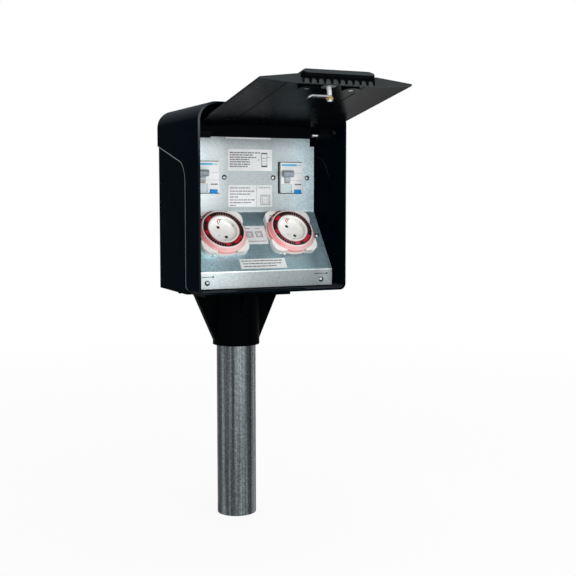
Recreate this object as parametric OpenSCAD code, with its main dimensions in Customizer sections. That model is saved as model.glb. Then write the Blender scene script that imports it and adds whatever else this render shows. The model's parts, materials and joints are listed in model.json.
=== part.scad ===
// Garden socket post: a hooded box on a steel tube with two socket timers behind a swing-up lid.
// Units mm. Origin on the tube axis at the lower end of the tube, +Z up, front towards -Y.

/* [Post] */
// Outer diameter of the steel tube
tube_d = 60.3; // [40:0.1:90]
// Wall of the steel tube
tube_wall = 2.9; // [2:0.1:5]
// Length of tube that shows below the collar
tube_free = 265; // [120:1:1500]
// Distance from the back of the hood to the tube axis
tube_back = 35; // [34:0.5:48]

/* [Collar] */
// Depth of the collar below the hood floor level
collar_drop = 92; // [85:0.5:130]
// Wall of the collar socket
collar_wall = 5.8; // [3:0.1:6.4]
// Radial room between tube and collar socket
collar_gap = 0.1; // [0.05:0.01:0.4]
// Width of the collar flange
flange_w = 138; // [130:1:150]
// Reach of the flange in front of the tube axis
flange_front = 51; // [46:0.5:54]
// Reach of the flange behind the tube axis
flange_back = 32; // [26:0.5:33]
// Thickness of the flange
flange_t = 15.6; // [12:0.1:18]
// Depth of the tube seat in the flange
tube_seat = 3; // [2:0.1:5]
// Thickness of the side and front gussets
gusset_t = 12; // [6:0.5:18]
// Radius of the cable hole in the flange
cable_r = 22; // [12:0.5:24]
// Radius of the flange bolt shanks
bolt_r = 4; // [3:0.1:4.5]
// Width across the flats of the flange bolt heads
bolt_af = 13; // [10:0.5:14]
// Distance of the flange bolts from the flange sides
bolt_side = 12; // [11:0.5:16]
// Distance of the front flange bolts from the flange front
bolt_in = 13; // [11:0.5:16]
// Place of the back flange bolts behind the tube axis
bolt_back = 20; // [17:0.5:21]
// Radius of the clamping set screws
set_r = 4; // [3:0.1:5]

/* [Hood] */
// Outer width of the hood
hood_w = 224; // [220:0.5:232]
// Depth of the hood
hood_d = 185; // [184:0.5:192]
// Height of the hood
hood_h = 262; // [258:0.5:280]
// Wall of the hood
hood_t = 3; // [2.6:0.1:3.2]
// Radius of the two roof edges
roof_r = 26; // [20:0.5:32]
// Radius of the two bottom edges
base_r = 9; // [7:0.5:11]
// Depth of the step from hood face to rear casing face
step_d = 1.6; // [1.4:0.1:2]
// Front line of the rear casing
step_y = 57; // [54:0.5:62]
// Height of the round corner of the step line
step_z = 154; // [140:0.5:160]
// Corner radius of the step line
step_r = 30; // [22:0.5:36]
// Rise of the step line towards the back in degrees
step_a = 13.8; // [8:0.1:16]
// Overlap of hood over rear casing
lap = 8; // [6:0.5:10]
// Room in the overlap
lap_gap = 0.15; // [0.1:0.01:0.3]
// Half width of the latch slot in the sill
slot_w = 53; // [48:0.5:60]
// Front edge of the latch slot
slot_y0 = 3.4; // [3:0.1:4]
// Back edge of the latch slot
slot_y1 = 20; // [19:0.5:24]
// Radius of the hood screws
hood_screw_r = 1.8; // [1.5:0.1:2.2]
// Sideways place of the inner hood screws
hood_screw_x = 30; // [20:0.5:40]
// Distance of the outer hood screws from the hood face
hood_screw_side = 22; // [16:0.5:26]

/* [Rear casing] */
// Wall of the rear casing
case_t = 2.4; // [2:0.1:2.8]
// Width of the side skirts under the rear casing
skirt_w = 7.2; // [6:0.1:7.4]
// Drop of the side skirts below the hood
skirt_drop = 4; // [2:0.1:6]
// Radius of the two panel posts
post_r = 6; // [5:0.1:6.5]
// Outer radius of the cable grommet flange
grommet_r = 25; // [24.5:0.1:28]
// Radius of the hole through the cable grommet
grommet_bore = 14; // [8:0.5:18]

/* [Lid] */
// Hinge axis behind the hood front rim
hinge_y = 34; // [30:0.5:38]
// Hinge axis below the hood roof
hinge_down = 40; // [38:0.5:42]
// Tilt of the open lid above level in degrees
lid_tilt = 10.2; // [8:0.1:12]
// Room between each side of the lid and the hood face
lid_side = 9; // [8:0.5:12]
// Length of the lid from hinge axis to free edge
lid_len = 232; // [228:0.5:236]
// Wall of the lid
lid_t = 2.5; // [2.2:0.1:3]
// Height of the lid underside over the hinge axis at the side edges
lid_z = 8.6; // [8:0.1:10]
// Half width of the flat middle of the lid
fold_x = 54; // [48:0.5:60]
// Rise of the flat middle at the hinge end
crown_rear = 3.5; // [2:0.1:5]
// Rise of the flat middle at the free end
crown_front = 6; // [5:0.1:8]
// Depth of the end lip below the side edges at the middle
lip_drop = 3.4; // [2:0.1:4]
// Radius of the hinge pins
pin_r = 3; // [2.5:0.1:3.5]
// Running room of the hinge pins in the lid
pin_gap = 0.05; // [0.02:0.01:0.09]
// Radius of the lid knuckles
ear_r = 7; // [6:0.1:7.5]
// Length of the lid knuckles
ear_len = 20; // [14:0.5:24]
// Length of the right hinge pin that shows beside its knuckle
pin_show = 9.6; // [6:0.1:11]
// Radius of the bosses under the handle
boss_r = 11.5; // [9:0.1:12]
// Sideways place of the handle bosses
boss_x = 30; // [27:0.5:34]
// Height of the boss faces over the hinge axis
boss_z = 6.2; // [4:0.1:8]

/* [Handle] */
// Half width of the handle bar
grip_hw = 50; // [46:0.5:52]
// Front of the handle in front of the lid end
grip_over = 7; // [5:0.1:8]
// Depth of the handle bar along the lid
grip_d = 43; // [42:0.5:48]
// Height of the handle bar above the lid underside level
grip_top = 15; // [14:0.1:18]
// Radius of the upper corners of the handle bar
grip_cr = 9; // [4:0.5:10]
// Size of the bevel along the front of the handle bar
grip_bevel = 7; // [2:0.1:8]
// Number of finger arches
arch_n = 10; // [6:1:12]

/* [Lock] */
// Distance of the lock from the free edge of the lid
lock_y = 26; // [25:0.5:28]
// Radius of the lock body
lock_r = 10; // [9:0.1:11]
// Radius of the turning lock core
core_r = 6.9; // [6:0.1:7.2]
// Running room of the lock core
core_gap = 0.05; // [0.02:0.01:0.09]
// Radius of the lock shaft
shaft_r = 3; // [2.5:0.1:3.5]
// Reach of the cam from the lock axis
cam_len = 31; // [28:0.5:32]
// Width of the cam
cam_w = 8.4; // [7.5:0.1:9]
// Thickness of the cam
cam_t = 2; // [1.5:0.1:2.5]

/* [Panel] */
// Thickness of the galvanised sheet
sheet_t = 1.5; // [1:0.1:2]
// Room between each side of the panel and the hood face
panel_side = 5.7; // [5:0.1:8]
// Upper panel face behind the hood front rim
panel_y = 95; // [93:0.5:97]
// Top edge of the panel
panel_top = 221; // [218:0.5:224]
// Height of the upper fold
fold_z = 111.6; // [110:0.1:113]
// Lean of the slanted face from level in degrees
slant_a = 53.2; // [52.5:0.1:54]
// Length of the slanted face
slant_l = 103.8; // [103:0.1:105]
// Bottom edge of the apron
apron_z = 4.8; // [4.5:0.1:6]
// Radius of the panel screw heads
screw_head = 4; // [3.2:0.1:4.2]
// Height of the domed panel screw heads
dome_h = 2.2; // [1.6:0.1:2.6]
// Radius of the panel screw shanks
screw_r = 1.9; // [1.5:0.1:2.2]

/* [Labels] */
// Width of the two labels on the upper face
label_w = 70; // [60:0.5:72]
// Offset of the upper labels from the middle
label_off = 2; // [0:0.5:4]
// Height of the upper label
label_h = 31.5; // [26:0.5:34]
// Room above and below the labels on the upper face
label_gap = 7.2; // [5:0.1:9]
// Room between the slant label and the timers
label_side = 1.5; // [1:0.1:4]
// Height of the slant label
label_slant = 32; // [26:0.5:36]
// Width of the label below the timers
label_low_w = 71; // [60:0.5:76]
// Thickness of the labels
label_t = 0.4; // [0.3:0.1:0.6]

/* [Breakers] */
// Distance of each breaker from the hood face
breaker_side = 45.1; // [44:0.1:48]
// Height of the breaker row
breaker_z = 162; // [160:0.5:163]
// Width of a breaker
breaker_w = 36; // [34:0.5:37]
// Height of the breaker nose
nose_h = 45; // [44:0.5:46]
// Stand of the breaker nose in front of the panel
nose_out = 6; // [5:0.1:8]
// Height of the breaker body
breaker_h = 85; // [80:0.5:88]
// Height of the mounting rail
rail_h = 35; // [30:0.5:36]
// Height of the terminal blocks
block_h = 44; // [40:0.5:50]
// Depth of the terminal blocks in front of the rail
block_d = 24; // [20:0.5:25]
// Length of the toggle bar
toggle_w = 16.2; // [14:0.1:16.4]
// Radius of the toggle bar
knob_r = 4.8; // [4:0.1:5]
// Reach of the toggle bar from its axis
toggle_reach = 13.6; // [13:0.1:14.5]
// Rise of the lifted toggle in degrees
toggle_a = 38; // [36:0.5:42]
// Width of the toggle stem
stem_w = 7.7; // [6:0.1:8.5]
// Radius of the toggle drum
drum_r = 6; // [5.8:0.1:6.1]
// Room between toggle drum and its slot
drum_gap = 0.4; // [0.3:0.05:0.6]
// Room beside the breaker noses in the panel
nose_gap_x = 2.2; // [0.5:0.1:2.6]
// Room above and below the breaker noses in the panel
nose_gap_z = 1.2; // [0.5:0.1:2]
// Radius of the toggle trunnions
trunnion_r = 2; // [1.6:0.1:2.4]
// Running room of the toggle trunnions
trunnion_gap = 0.05; // [0.02:0.01:0.09]
// Room around the test buttons
button_gap = 0.3; // [0.3:0.05:0.5]
// Width of the test buttons
button_w = 11.4; // [10:0.1:12]
// Height of the test buttons
button_h = 5; // [4:0.1:5.4]

/* [Timers] */
// Distance of each timer from the hood face
timer_side = 58; // [56:0.1:60]
// Distance of the timers down the slanted face
timer_t = 40.8; // [40:0.1:42]
// Width of the timer base
timer_w = 71; // [68:0.5:72]
// Height of the timer base ears
ear_h = 9.3; // [7:0.1:10]
// Distance of the ears from the middle of each side
ear_in = 15; // [12:0.5:18]
// Radius of the round foot of the timer base
foot_r = 36.8; // [36.5:0.1:37]
// Corner radius of the timer base
ear_cr = 12; // [10:0.5:16]
// Thickness of the base plate under the dial
plate_t = 3; // [2.5:0.1:3.4]
// Outer radius of the clear rim
rim_r = 36; // [35.5:0.1:37]
// Height of the straight wall of the clear rim
rim_wall = 6.3; // [4:0.1:7]
// Room between clear rim and base ears
rim_gap = 0.4; // [0.3:0.05:0.6]
// Outer radius of the tappet ring
ring_r = 30.3; // [29.5:0.1:31]
// Radius of the socket neck
neck_r = 22.9; // [22.5:0.1:23.3]
// Running room of the dial on the socket neck
neck_gap = 0.05; // [0.02:0.01:0.09]
// Height of the socket face over the panel
face_h = 15.7; // [14.5:0.1:17]
// Radius of the socket well
well_r = 20; // [19.5:0.1:20.5]
// Depth of the socket well
well_d = 8; // [7:0.1:9.5]
// Radius of the timer body behind the panel
body_r = 29; // [26:0.5:30]
// Depth of the timer body behind the panel face
body_d = 32; // [26:0.5:36]
// Half spacing of the contact holes
contact_p = 9.5; // [9:0.1:10]
// Direction of the contact pair in degrees
contact_a = -62.5; // [-70:0.5:-55]

/* [Hidden] */
$fn = 64;
tube_r = tube_d / 2;
hood_z = tube_free + collar_drop;
tube_y = hood_d - tube_back;
collar_r = tube_r + collar_gap + collar_wall;
bolt_sink = 5.5;
bolt_x = flange_w / 2 - bolt_side;
bolt_front = flange_front - bolt_in;
flange_z1 = step_d;
flange_z0 = flange_z1 - flange_t;
case_in = step_d + case_t;
floor_z = case_in;
panel_hw = hood_w / 2 - panel_side;
breaker_x = hood_w / 2 - breaker_side;
timer_x = hood_w / 2 - timer_side;
slant_y = panel_y - slant_l * cos(slant_a);
slant_z = fold_z - slant_l * sin(slant_a);
bend = sheet_t * (1 - sin(slant_a)) / cos(slant_a);
panel_back = panel_y + sheet_t;
rim_z0 = plate_t + 0.4;
well_z = face_h - well_d;
pin_end = hood_w / 2 - hood_t / 2;
nose_y = panel_y - nose_out;
shoulder_y = panel_back + 12;
rail_y = shoulder_y + 25;
rail_web = rail_y + 7.5;
rail_half = breaker_x + breaker_w / 2 + 2;
standoff_x = breaker_x - breaker_w / 2 - 10;
post_x = rail_half + post_r + 1.9;
toggle_y = nose_y + 2.5;
toggle_z = breaker_z - 2.5;
toggle_x = 10.2 - breaker_w / 2;
knob_off = -2;
button_x = breaker_w / 2 - 8.6;
button_z = breaker_z - 20.4;
button_out = 1.4;
lock_top = lid_z + grip_top;
lock_low = 10.5;
cam_z = -3.4;
sunk_head = 3.3;
sunk_d = 2.8;
foot_x = panel_hw - 9.8;
foot_y = 102;
apron_x = panel_hw - 17.8;
apron_screw_z = 13.3;
slant_screw_x = panel_hw - 7.3;
slant_screw_t = 43.7;
window_w = breaker_w / 2 - 0.8;
window_h = 12.1;
lever_x = -18.7;
lid_hw = hood_w / 2 - lid_side;
hinge_z = hood_h - hinge_down;
lock_p = lid_len - lock_y;
lock_under = lid_z + crown_rear + (crown_front - crown_rear) * lock_p / lid_len;
boss_d = step_y - lap - slant_y - sheet_t - 2.7;
steel = [0.62, 0.64, 0.66];
black = [0.05, 0.05, 0.06];
white = [0.93, 0.93, 0.91];

module at_hood() {
  translate([0, -tube_y, hood_z]) children();
}

module along_y(y0, len) {
  translate([0, y0 + len, 0]) rotate([90, 0, 0]) linear_extrude(len) children();
}

module along_x(x0, len) {
  translate([x0, 0, 0]) rotate([90, 0, 90]) linear_extrude(len) children();
}

module both_sides() {
  children();
  mirror([1, 0, 0]) children();
}

module hood_profile(d) {
  w2 = hood_w / 2 - d;
  r1 = roof_r - d;
  r2 = base_r - d;
  translate([-w2, d + r2]) square([2 * w2, hood_h - 2 * d - r1 - r2]);
  translate([-w2 + r1, hood_h - d - r1 - 1]) square([2 * (w2 - r1), r1 + 1]);
  translate([-w2 + r2, d]) square([2 * (w2 - r2), r2 + 1]);
  translate([w2 - r1, hood_h - d - r1]) circle(r1);
  translate([-w2 + r1, hood_h - d - r1]) circle(r1);
  translate([w2 - r2, d + r2]) circle(r2);
  translate([-w2 + r2, d + r2]) circle(r2);
}

// Side view of everything behind and below the step line, grown by g
module step_region(g) {
  cy = step_y + step_r;
  rr = step_r + g;
  ty = cy - rr * sin(step_a);
  tz = step_z + rr * cos(step_a);
  far = hood_d + 40;
  translate([cy, step_z]) circle(rr);
  polygon([[step_y - g, -40], [step_y - g, step_z], [cy, step_z], [cy, -40]]);
  polygon([[cy - 1, -40], [cy - 1, step_z], [cy, step_z], [ty, tz],
    [far, tz + (far - ty) * tan(step_a)], [far, -40]]);
}

module post_tube() {
  color(steel) difference() {
    cylinder(r = tube_r, h = hood_z + flange_z0 + tube_seat);
    translate([0, 0, -1]) cylinder(r = tube_r - tube_wall, h = hood_z + flange_z0 + tube_seat + 2);
  }
}

module bolt_spots() {
  for (sx = [-1, 1]) {
    for (y = [-bolt_front, bolt_back]) {
      translate([sx * bolt_x, y, 0]) children();
    }
  }
}

module set_spots() {
  for (a = [60, 120]) {
    rotate([0, 0, a]) translate([0, 0, tube_free + 20]) rotate([0, 90, 0]) children();
  }
}

module collar() {
  low = hood_z + flange_z0;
  side = [[collar_r - 1, tube_free + 8], [collar_r + 0.5, tube_free + 8], [flange_w / 2 - 1, low + 1],
    [collar_r - 1, low + 1]];
  front = [[collar_r - 1, tube_free + 50], [collar_r + 0.2, tube_free + 50], [flange_front - 1, low + 1],
    [collar_r - 1, low + 1]];
  color(black) difference() {
    union() {
      translate([0, 0, tube_free]) cylinder(r = collar_r, h = low - tube_free + 4);
      translate([-flange_w / 2, -flange_front, low]) cube([flange_w, flange_front + flange_back, flange_t]);
      both_sides() along_y(-gusset_t / 2, gusset_t) polygon(side);
      rotate([0, 0, -90]) along_y(-gusset_t / 2, gusset_t) polygon(front);
    }
    translate([0, 0, tube_free - 1])
      cylinder(r = tube_r + collar_gap, h = low + tube_seat + 0.1 - tube_free + 1);
    translate([0, 0, low - 1]) cylinder(r = cable_r, h = flange_t + 2);
    translate([0, 0, low - 1]) bolt_spots() cylinder(r = bolt_r + 0.3, h = flange_t + 2);
    translate([0, 0, low - 1]) bolt_spots() cylinder(r = bolt_af / 2 / cos(30) + 0.8, h = bolt_sink + 1);
    set_spots() translate([0, 0, tube_r - 4]) cylinder(r = set_r + 0.1, h = collar_r - tube_r + 12);
  }
}

module collar_bolts() {
  low = hood_z + flange_z0;
  color(steel) bolt_spots() {
    translate([0, 0, low + bolt_sink - 5.3]) cylinder(r = bolt_af / 2 / cos(30), h = 5.3, $fn = 6);
    translate([0, 0, low + bolt_sink - 1]) cylinder(r = bolt_r, h = flange_t - bolt_sink + case_t + 10);
  }
}

module collar_nuts() {
  color(steel) translate([0, 0, hood_z + floor_z]) bolt_spots() difference() {
    union() {
      cylinder(r = bolt_af / 2 + 1.5, h = 1.6);
      translate([0, 0, 1.5]) cylinder(r = bolt_af / 2 / cos(30), h = 6, $fn = 6);
    }
    translate([0, 0, -1]) cylinder(r = bolt_r + 0.05, h = 10);
  }
}

module collar_set_screws() {
  color(steel) set_spots() translate([0, 0, tube_r + 0.05]) difference() {
    cylinder(r = set_r, h = collar_r - tube_r + 3);
    translate([0, 0, collar_r - tube_r]) cylinder(r = set_r * 0.55, h = 4, $fn = 6);
  }
}

module rear_casing() {
  y0 = step_y - lap + lap_gap;
  color(black) at_hood() difference() {
    union() {
      intersection() {
        difference() {
          along_y(y0, hood_d - step_d - y0) hood_profile(step_d);
          along_y(y0 - 1, hood_d - case_in - y0 + 1) hood_profile(case_in);
        }
        along_x(-hood_w, 2 * hood_w) step_region(lap - lap_gap);
      }
      both_sides() translate([hood_w / 2 - step_d - skirt_w, step_y + 0.4, -skirt_drop])
        cube([skirt_w, hood_d - step_d - step_y - 0.4, skirt_drop + base_r]);
      for (sx = [-1, 1]) {
        translate([sx * post_x, panel_back, breaker_z]) rotate([-90, 0, 0])
          cylinder(r = post_r, h = hood_d - case_in - panel_back + 0.5);
      }
    }
    for (sx = [-1, 1]) {
      translate([sx * post_x, panel_back - 1, breaker_z]) rotate([-90, 0, 0])
        cylinder(r = screw_r + 0.05, h = 22);
      translate([sx * foot_x, foot_y, -1]) cylinder(r = screw_r + 0.1, h = 10);
      for (x = [hood_screw_x, hood_w / 2 - hood_screw_side]) {
        translate([sx * x, step_y - lap / 2, -1]) cylinder(r = hood_screw_r + 0.1, h = 10);
      }
    }
    translate([0, tube_y, -1]) cylinder(r = cable_r, h = 10);
    translate([0, tube_y, -1]) bolt_spots() cylinder(r = bolt_r + 0.3, h = 10);
  }
}

module casing_screws() {
  color(steel) at_hood() for (sx = [-1, 1]) {
    translate([sx * foot_x, foot_y, step_d - 2.4]) cylinder(r = sunk_head + 0.4, h = 2.4);
    translate([sx * foot_x, foot_y, step_d - 0.5]) cylinder(r = screw_r, h = case_t + 4);
  }
}

module hood() {
  bx0 = lid_hw + 1;
  color(black) at_hood() difference() {
    union() {
      difference() {
        along_y(0, hood_d) hood_profile(0);
        along_y(-1, hood_d - hood_t + 1) hood_profile(hood_t);
        along_x(-hood_w, 2 * hood_w) step_region(0);
        intersection() {
          along_y(1, hood_d - step_d + lap_gap - 1) hood_profile(step_d - lap_gap);
          along_x(-hood_w, 2 * hood_w) step_region(lap);
        }
      }
      both_sides() translate([bx0, hinge_y, hinge_z]) rotate([0, 90, 0])
        cylinder(r = ear_r + 1, h = pin_end - bx0);
      for (sx = [-1, 1]) {
        translate([sx * apron_x - 7, slant_y + sheet_t, hood_t - 0.5]) cube([14, boss_d, 18]);
      }
    }
    translate([-slot_w, slot_y0, -1]) cube([2 * slot_w, slot_y1 - slot_y0, hood_t + 2]);
    both_sides() translate([bx0 - 1, hinge_y, hinge_z]) rotate([0, 90, 0])
      cylinder(r = pin_r + 0.02, h = pin_end + 0.1 - bx0 + 1);
    for (sx = [-1, 1]) {
      translate([sx * apron_x, slant_y, apron_screw_z]) rotate([-90, 0, 0])
        cylinder(r = screw_r + 0.05, h = 11);
      for (x = [hood_screw_x, hood_w / 2 - hood_screw_side]) {
        translate([sx * x, step_y - lap / 2, -1]) cylinder(r = hood_screw_r + 0.1, h = 10);
      }
    }
  }
}

module hood_screws() {
  color(steel) at_hood() for (sx = [-1, 1]) {
    for (x = [hood_screw_x, hood_w / 2 - hood_screw_side]) {
      translate([sx * x, step_y - lap / 2, -1.8]) cylinder(r = hood_screw_r * 1.9, h = 1.8);
      translate([sx * x, step_y - lap / 2, -0.5]) cylinder(r = hood_screw_r, h = floor_z + 3.5);
    }
  }
}

module hinge_pins() {
  right = lid_hw - ear_len - pin_show;
  left = lid_hw - ear_len + 4;
  color(steel) at_hood() {
    translate([right, hinge_y, hinge_z]) rotate([0, 90, 0]) cylinder(r = pin_r, h = pin_end - right);
    translate([-pin_end, hinge_y, hinge_z]) rotate([0, 90, 0]) cylinder(r = pin_r, h = pin_end - left);
  }
}

module at_lid() {
  at_hood() translate([0, hinge_y, hinge_z]) rotate([-lid_tilt, 0, 0]) children();
}

module lid_slice(y, c, hw, z0, z1, zc) {
  translate([0, y, 0]) rotate([90, 0, 0]) linear_extrude(0.02)
    polygon([[-hw, z0], [hw, z0], [hw, z1], [fold_x, zc + c], [-fold_x, zc + c], [-hw, z1]]);
}

module lid() {
  z = lid_z;
  hi = lid_hw - lid_t;
  slope = (crown_front - crown_rear) / lid_len;
  c1 = crown_rear + slope * (lid_len - lid_t);
  end_lip = [[-lid_hw, z], [-fold_x, z - lip_drop], [fold_x, z - lip_drop], [lid_hw, z],
    [lid_hw, z + lid_t], [fold_x, z + crown_front + 1], [-fold_x, z + crown_front + 1],
    [-lid_hw, z + lid_t]];
  rear_hw = lid_hw - ear_len - pin_show - 1;
  color(black) at_lid() difference() {
    union() {
      difference() {
        hull() {
          lid_slice(-lid_len + 0.02, crown_front, lid_hw, z, z + lid_t, z + lid_t);
          lid_slice(lid_t, crown_rear, lid_hw, z, z + lid_t, z + lid_t);
        }
        hull() {
          lid_slice(-lid_len + lid_t, c1, hi, z - 12, z + 0.2, z);
          lid_slice(0, crown_rear, hi, z - 12, z + 0.2, z);
        }
      }
      along_y(-lid_len, lid_t) polygon(end_lip);
      translate([ear_len - lid_hw - 1, 0, -4.8]) cube([lid_hw - ear_len + 1 + rear_hw, lid_t, z + 6.8]);
      both_sides() translate([lid_hw - ear_len, 0, 0]) {
        rotate([0, 90, 0]) cylinder(r = ear_r, h = ear_len);
        translate([0, -ear_r, 0]) cube([ear_len, 2 * ear_r, z + 0.6]);
      }
      for (sx = [-1, 1]) {
        translate([sx * boss_x, -lock_p, boss_z]) cylinder(r = boss_r, h = lock_under - boss_z + 1);
      }
    }
    both_sides() translate([lid_hw - ear_len - 1, 0, 0]) rotate([0, 90, 0])
      cylinder(r = pin_r + pin_gap, h = ear_len + 2);
    translate([0, -lock_p, 0]) cylinder(r = lock_r + 0.1, h = 40);
    for (sx = [-1, 1]) {
      translate([sx * boss_x, -lock_p, 0]) cylinder(r = screw_r + 0.1, h = 40);
      translate([sx * boss_x, -lock_p, 0]) cylinder(r = sunk_head + 0.15, h = boss_z + sunk_d);
    }
  }
}

module lid_handle() {
  z = lid_z;
  y0 = -lid_len - grip_over;
  pitch = 2 * (grip_hw - 2) / arch_n;
  slope = (crown_front - crown_rear) / lid_len;
  tilt = atan(slope);
  color(black) at_lid() difference() {
    union() {
      translate([-grip_hw + 8, y0, z + 4]) cube([2 * grip_hw - 16, grip_d, grip_top - 4]);
      translate([-grip_hw, y0 + 8, z + 4]) cube([2 * grip_hw, grip_d - 16, grip_top - 4]);
      for (sx = [-1, 1]) {
        for (y = [y0 + 8, y0 + grip_d - 8]) {
          translate([sx * (grip_hw - 8), y, z + 4]) cylinder(r = 8, h = grip_top - 4);
        }
      }
      translate([-grip_hw + 2, -lid_len - 4, z - lip_drop + 0.4]) cube([2 * grip_hw - 4, 4, lip_drop + 6]);
    }
    hull() {
      lid_slice(-lid_len - 0.02 + 0.04, crown_front, lid_hw + 1, z - 20, z + lid_t, z + lid_t);
      lid_slice(lid_t, crown_rear, lid_hw + 1, z - 20, z + lid_t, z + lid_t);
    }
    for (i = [0:arch_n - 1]) {
      translate([-grip_hw + 2 + pitch * (i + 0.5), -lid_len - 10, z - lip_drop + 2.6]) {
        rotate([-90, 0, 0]) cylinder(r = pitch / 2 - 0.9, h = 9.2);
        translate([-pitch / 2 + 0.9, 0, -8]) cube([pitch - 1.8, 9.2, 8]);
      }
    }
    translate([0, y0, z + grip_top]) rotate([45, 0, 0])
      cube([3 * grip_hw, grip_bevel * sqrt(2), grip_bevel * sqrt(2)], center = true);
    both_sides() translate([grip_hw - grip_cr, y0 - 1, z + grip_top - grip_cr]) difference() {
      cube([grip_cr + 1, grip_d + 2, grip_cr + 1]);
      translate([0, -1, 0]) rotate([-90, 0, 0]) cylinder(r = grip_cr, h = grip_d + 4);
    }
    translate([0, -lock_p, 0]) cylinder(r = lock_r + 0.1, h = 60);
    for (sx = [-1, 1]) {
      translate([sx * boss_x, -lock_p, 0]) cylinder(r = screw_r - 0.1, h = z + grip_top - 2);
    }
  }
}

module handle_screws() {
  color(steel) at_lid() for (sx = [-1, 1]) {
    translate([sx * boss_x, -lock_p, boss_z + sunk_d - 2.4]) cylinder(r = sunk_head, h = 2.4);
    translate([sx * boss_x, -lock_p, boss_z + sunk_d - 1])
      cylinder(r = screw_r - 0.15, h = lid_z + grip_top - 4.6 - boss_z - sunk_d);
  }
}

module lock_body() {
  color([0.72, 0.73, 0.75]) at_lid() translate([0, -lock_p, 0]) difference() {
    union() {
      translate([0, 0, lock_top]) cylinder(r = lock_r + 3, h = 2.2);
      translate([0, 0, lock_low]) cylinder(r = lock_r, h = lock_top - lock_low + 1);
    }
    translate([0, 0, lock_low - 1]) cylinder(r = core_r + core_gap, h = 60);
  }
}

module lock_nut() {
  rise = (lock_r + 4) * (crown_front - crown_rear) / lid_len;
  nut_h = lock_under - lock_low + 0.45 - rise;
  color(black) at_lid() translate([0, -lock_p, lock_low - 0.5]) difference() {
    cylinder(r = lock_r + 4, h = nut_h);
    translate([0, 0, -1]) cylinder(r = lock_r + 0.1, h = 40);
  }
}

module lock_core() {
  color([0.8, 0.81, 0.83]) at_lid() translate([0, -lock_p, 0]) difference() {
    union() {
      translate([0, 0, lock_low - 0.5]) cylinder(r = core_r, h = lock_top - lock_low + 2.2);
      translate([0, 0, cam_z - 2.6]) cylinder(r = shaft_r, h = lock_low - cam_z + 3);
    }
    translate([0, 0, lock_top - 5]) cylinder(r = 4.4, h = 10, $fn = 3);
    translate([0, 0, cam_z - 3]) cylinder(r = 1.2, h = 9);
  }
}

module lock_cam() {
  color(steel) at_lid() translate([0, -lock_p, cam_z]) difference() {
    union() {
      cylinder(r = cam_w / 2, h = cam_t);
      translate([-cam_len + 6, -cam_w / 2, 0]) cube([cam_len - 6, cam_w, cam_t]);
      along_y(-cam_w / 2, cam_w) polygon([[-cam_len + 6.1, 0], [-cam_len + 6.1, cam_t],
        [-cam_len + 5, cam_t], [-cam_len, cam_t - 2.6], [-cam_len, -2.6], [-cam_len + 5, 0]]);
    }
    translate([0, 0, -1]) cylinder(r = shaft_r + 0.05, h = cam_t + 2);
  }
}

module cam_nut() {
  color([0.72, 0.55, 0.25]) at_lid() translate([0, -lock_p, cam_z - 2.6]) difference() {
    cylinder(r = 5, h = 2.5, $fn = 6);
    translate([0, 0, -1]) cylinder(r = shaft_r + 0.05, h = 5);
  }
}

module cam_screw() {
  color([0.8, 0.68, 0.4]) at_lid() translate([0, -lock_p, cam_z - 4.4]) difference() {
    union() {
      cylinder(r = 3.2, h = 1.7);
      translate([0, 0, 1.6]) cylinder(r = 1.15, h = 7);
    }
    translate([-4, -0.4, -1]) cube([8, 0.8, 1.6]);
  }
}

module at_panel() {
  translate([0, panel_y, fold_z]) rotate([slant_a, 0, 0]) children();
}

module at_timer(sx) {
  at_panel() translate([sx * timer_x, -timer_t, 0]) children();
}

module instrument_panel() {
  sheet = [[panel_y, panel_top], [panel_y, fold_z], [slant_y, slant_z], [slant_y, apron_z],
    [slant_y + sheet_t, apron_z], [slant_y + sheet_t, slant_z - bend], [panel_back, fold_z - bend],
    [panel_back, panel_top]];
  color([0.66, 0.7, 0.72]) at_hood() difference() {
    along_x(-panel_hw, 2 * panel_hw) polygon(sheet);
    for (sx = [-1, 1]) {
      translate([sx * breaker_x, panel_y + sheet_t / 2, breaker_z])
        cube([breaker_w + 2 * nose_gap_x, sheet_t + 2, nose_h + 2 * nose_gap_z], center = true);
      at_timer(sx) translate([0, 0, -8]) cylinder(r = body_r + 0.4, h = 16);
      translate([sx * post_x, panel_y - 1, breaker_z]) rotate([-90, 0, 0])
        cylinder(r = screw_r + 0.15, h = 5);
      translate([sx * standoff_x, panel_y - 1, breaker_z]) rotate([-90, 0, 0])
        cylinder(r = screw_r + 0.15, h = 5);
      translate([sx * apron_x, slant_y - 1, apron_screw_z]) rotate([-90, 0, 0])
        cylinder(r = screw_r + 0.15, h = 5);
      at_panel() translate([sx * slant_screw_x, -slant_screw_t, -5]) cylinder(r = screw_r + 0.15, h = 10);
      translate([sx * apron_x - 11, slant_y - 1, slant_z - 7]) cube([20, sheet_t + 2, 0.8]);
      translate([sx * apron_x + 9, slant_y - 1, slant_z - 6.6]) rotate([-90, 0, 0])
        cylinder(r = 1.3, h = sheet_t + 2);
      translate([sx * (panel_hw - 3) - 4, panel_y - 1, panel_top - 12]) cube([8, 4, 20]);
    }
  }
}

module panel_brackets() {
  ca = cos(slant_a);
  sa = sin(slant_a);
  off = sheet_t + 1;
  pa = [panel_y - 30 * ca + off * sa, fold_z - 30 * sa - off * ca];
  pb = [panel_y - 58 * ca + off * sa, fold_z - 58 * sa - off * ca];
  color(steel) at_hood() both_sides() difference() {
    union() {
      translate([panel_hw - 16.3, foot_y - 30, floor_z]) cube([12.5, 53, 2]);
      along_x(panel_hw - 5.8, 2) polygon([[foot_y - 30, floor_z], [foot_y + 23, floor_z], pa, pb]);
      at_panel() translate([panel_hw - 15.3, -58, -sheet_t - 2]) cube([11.5, 28, 2]);
    }
    translate([foot_x, foot_y, 0]) cylinder(r = screw_r + 0.05, h = 10);
    at_panel() translate([slant_screw_x, -slant_screw_t, -10]) cylinder(r = screw_r + 0.05, h = 20);
  }
}

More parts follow.
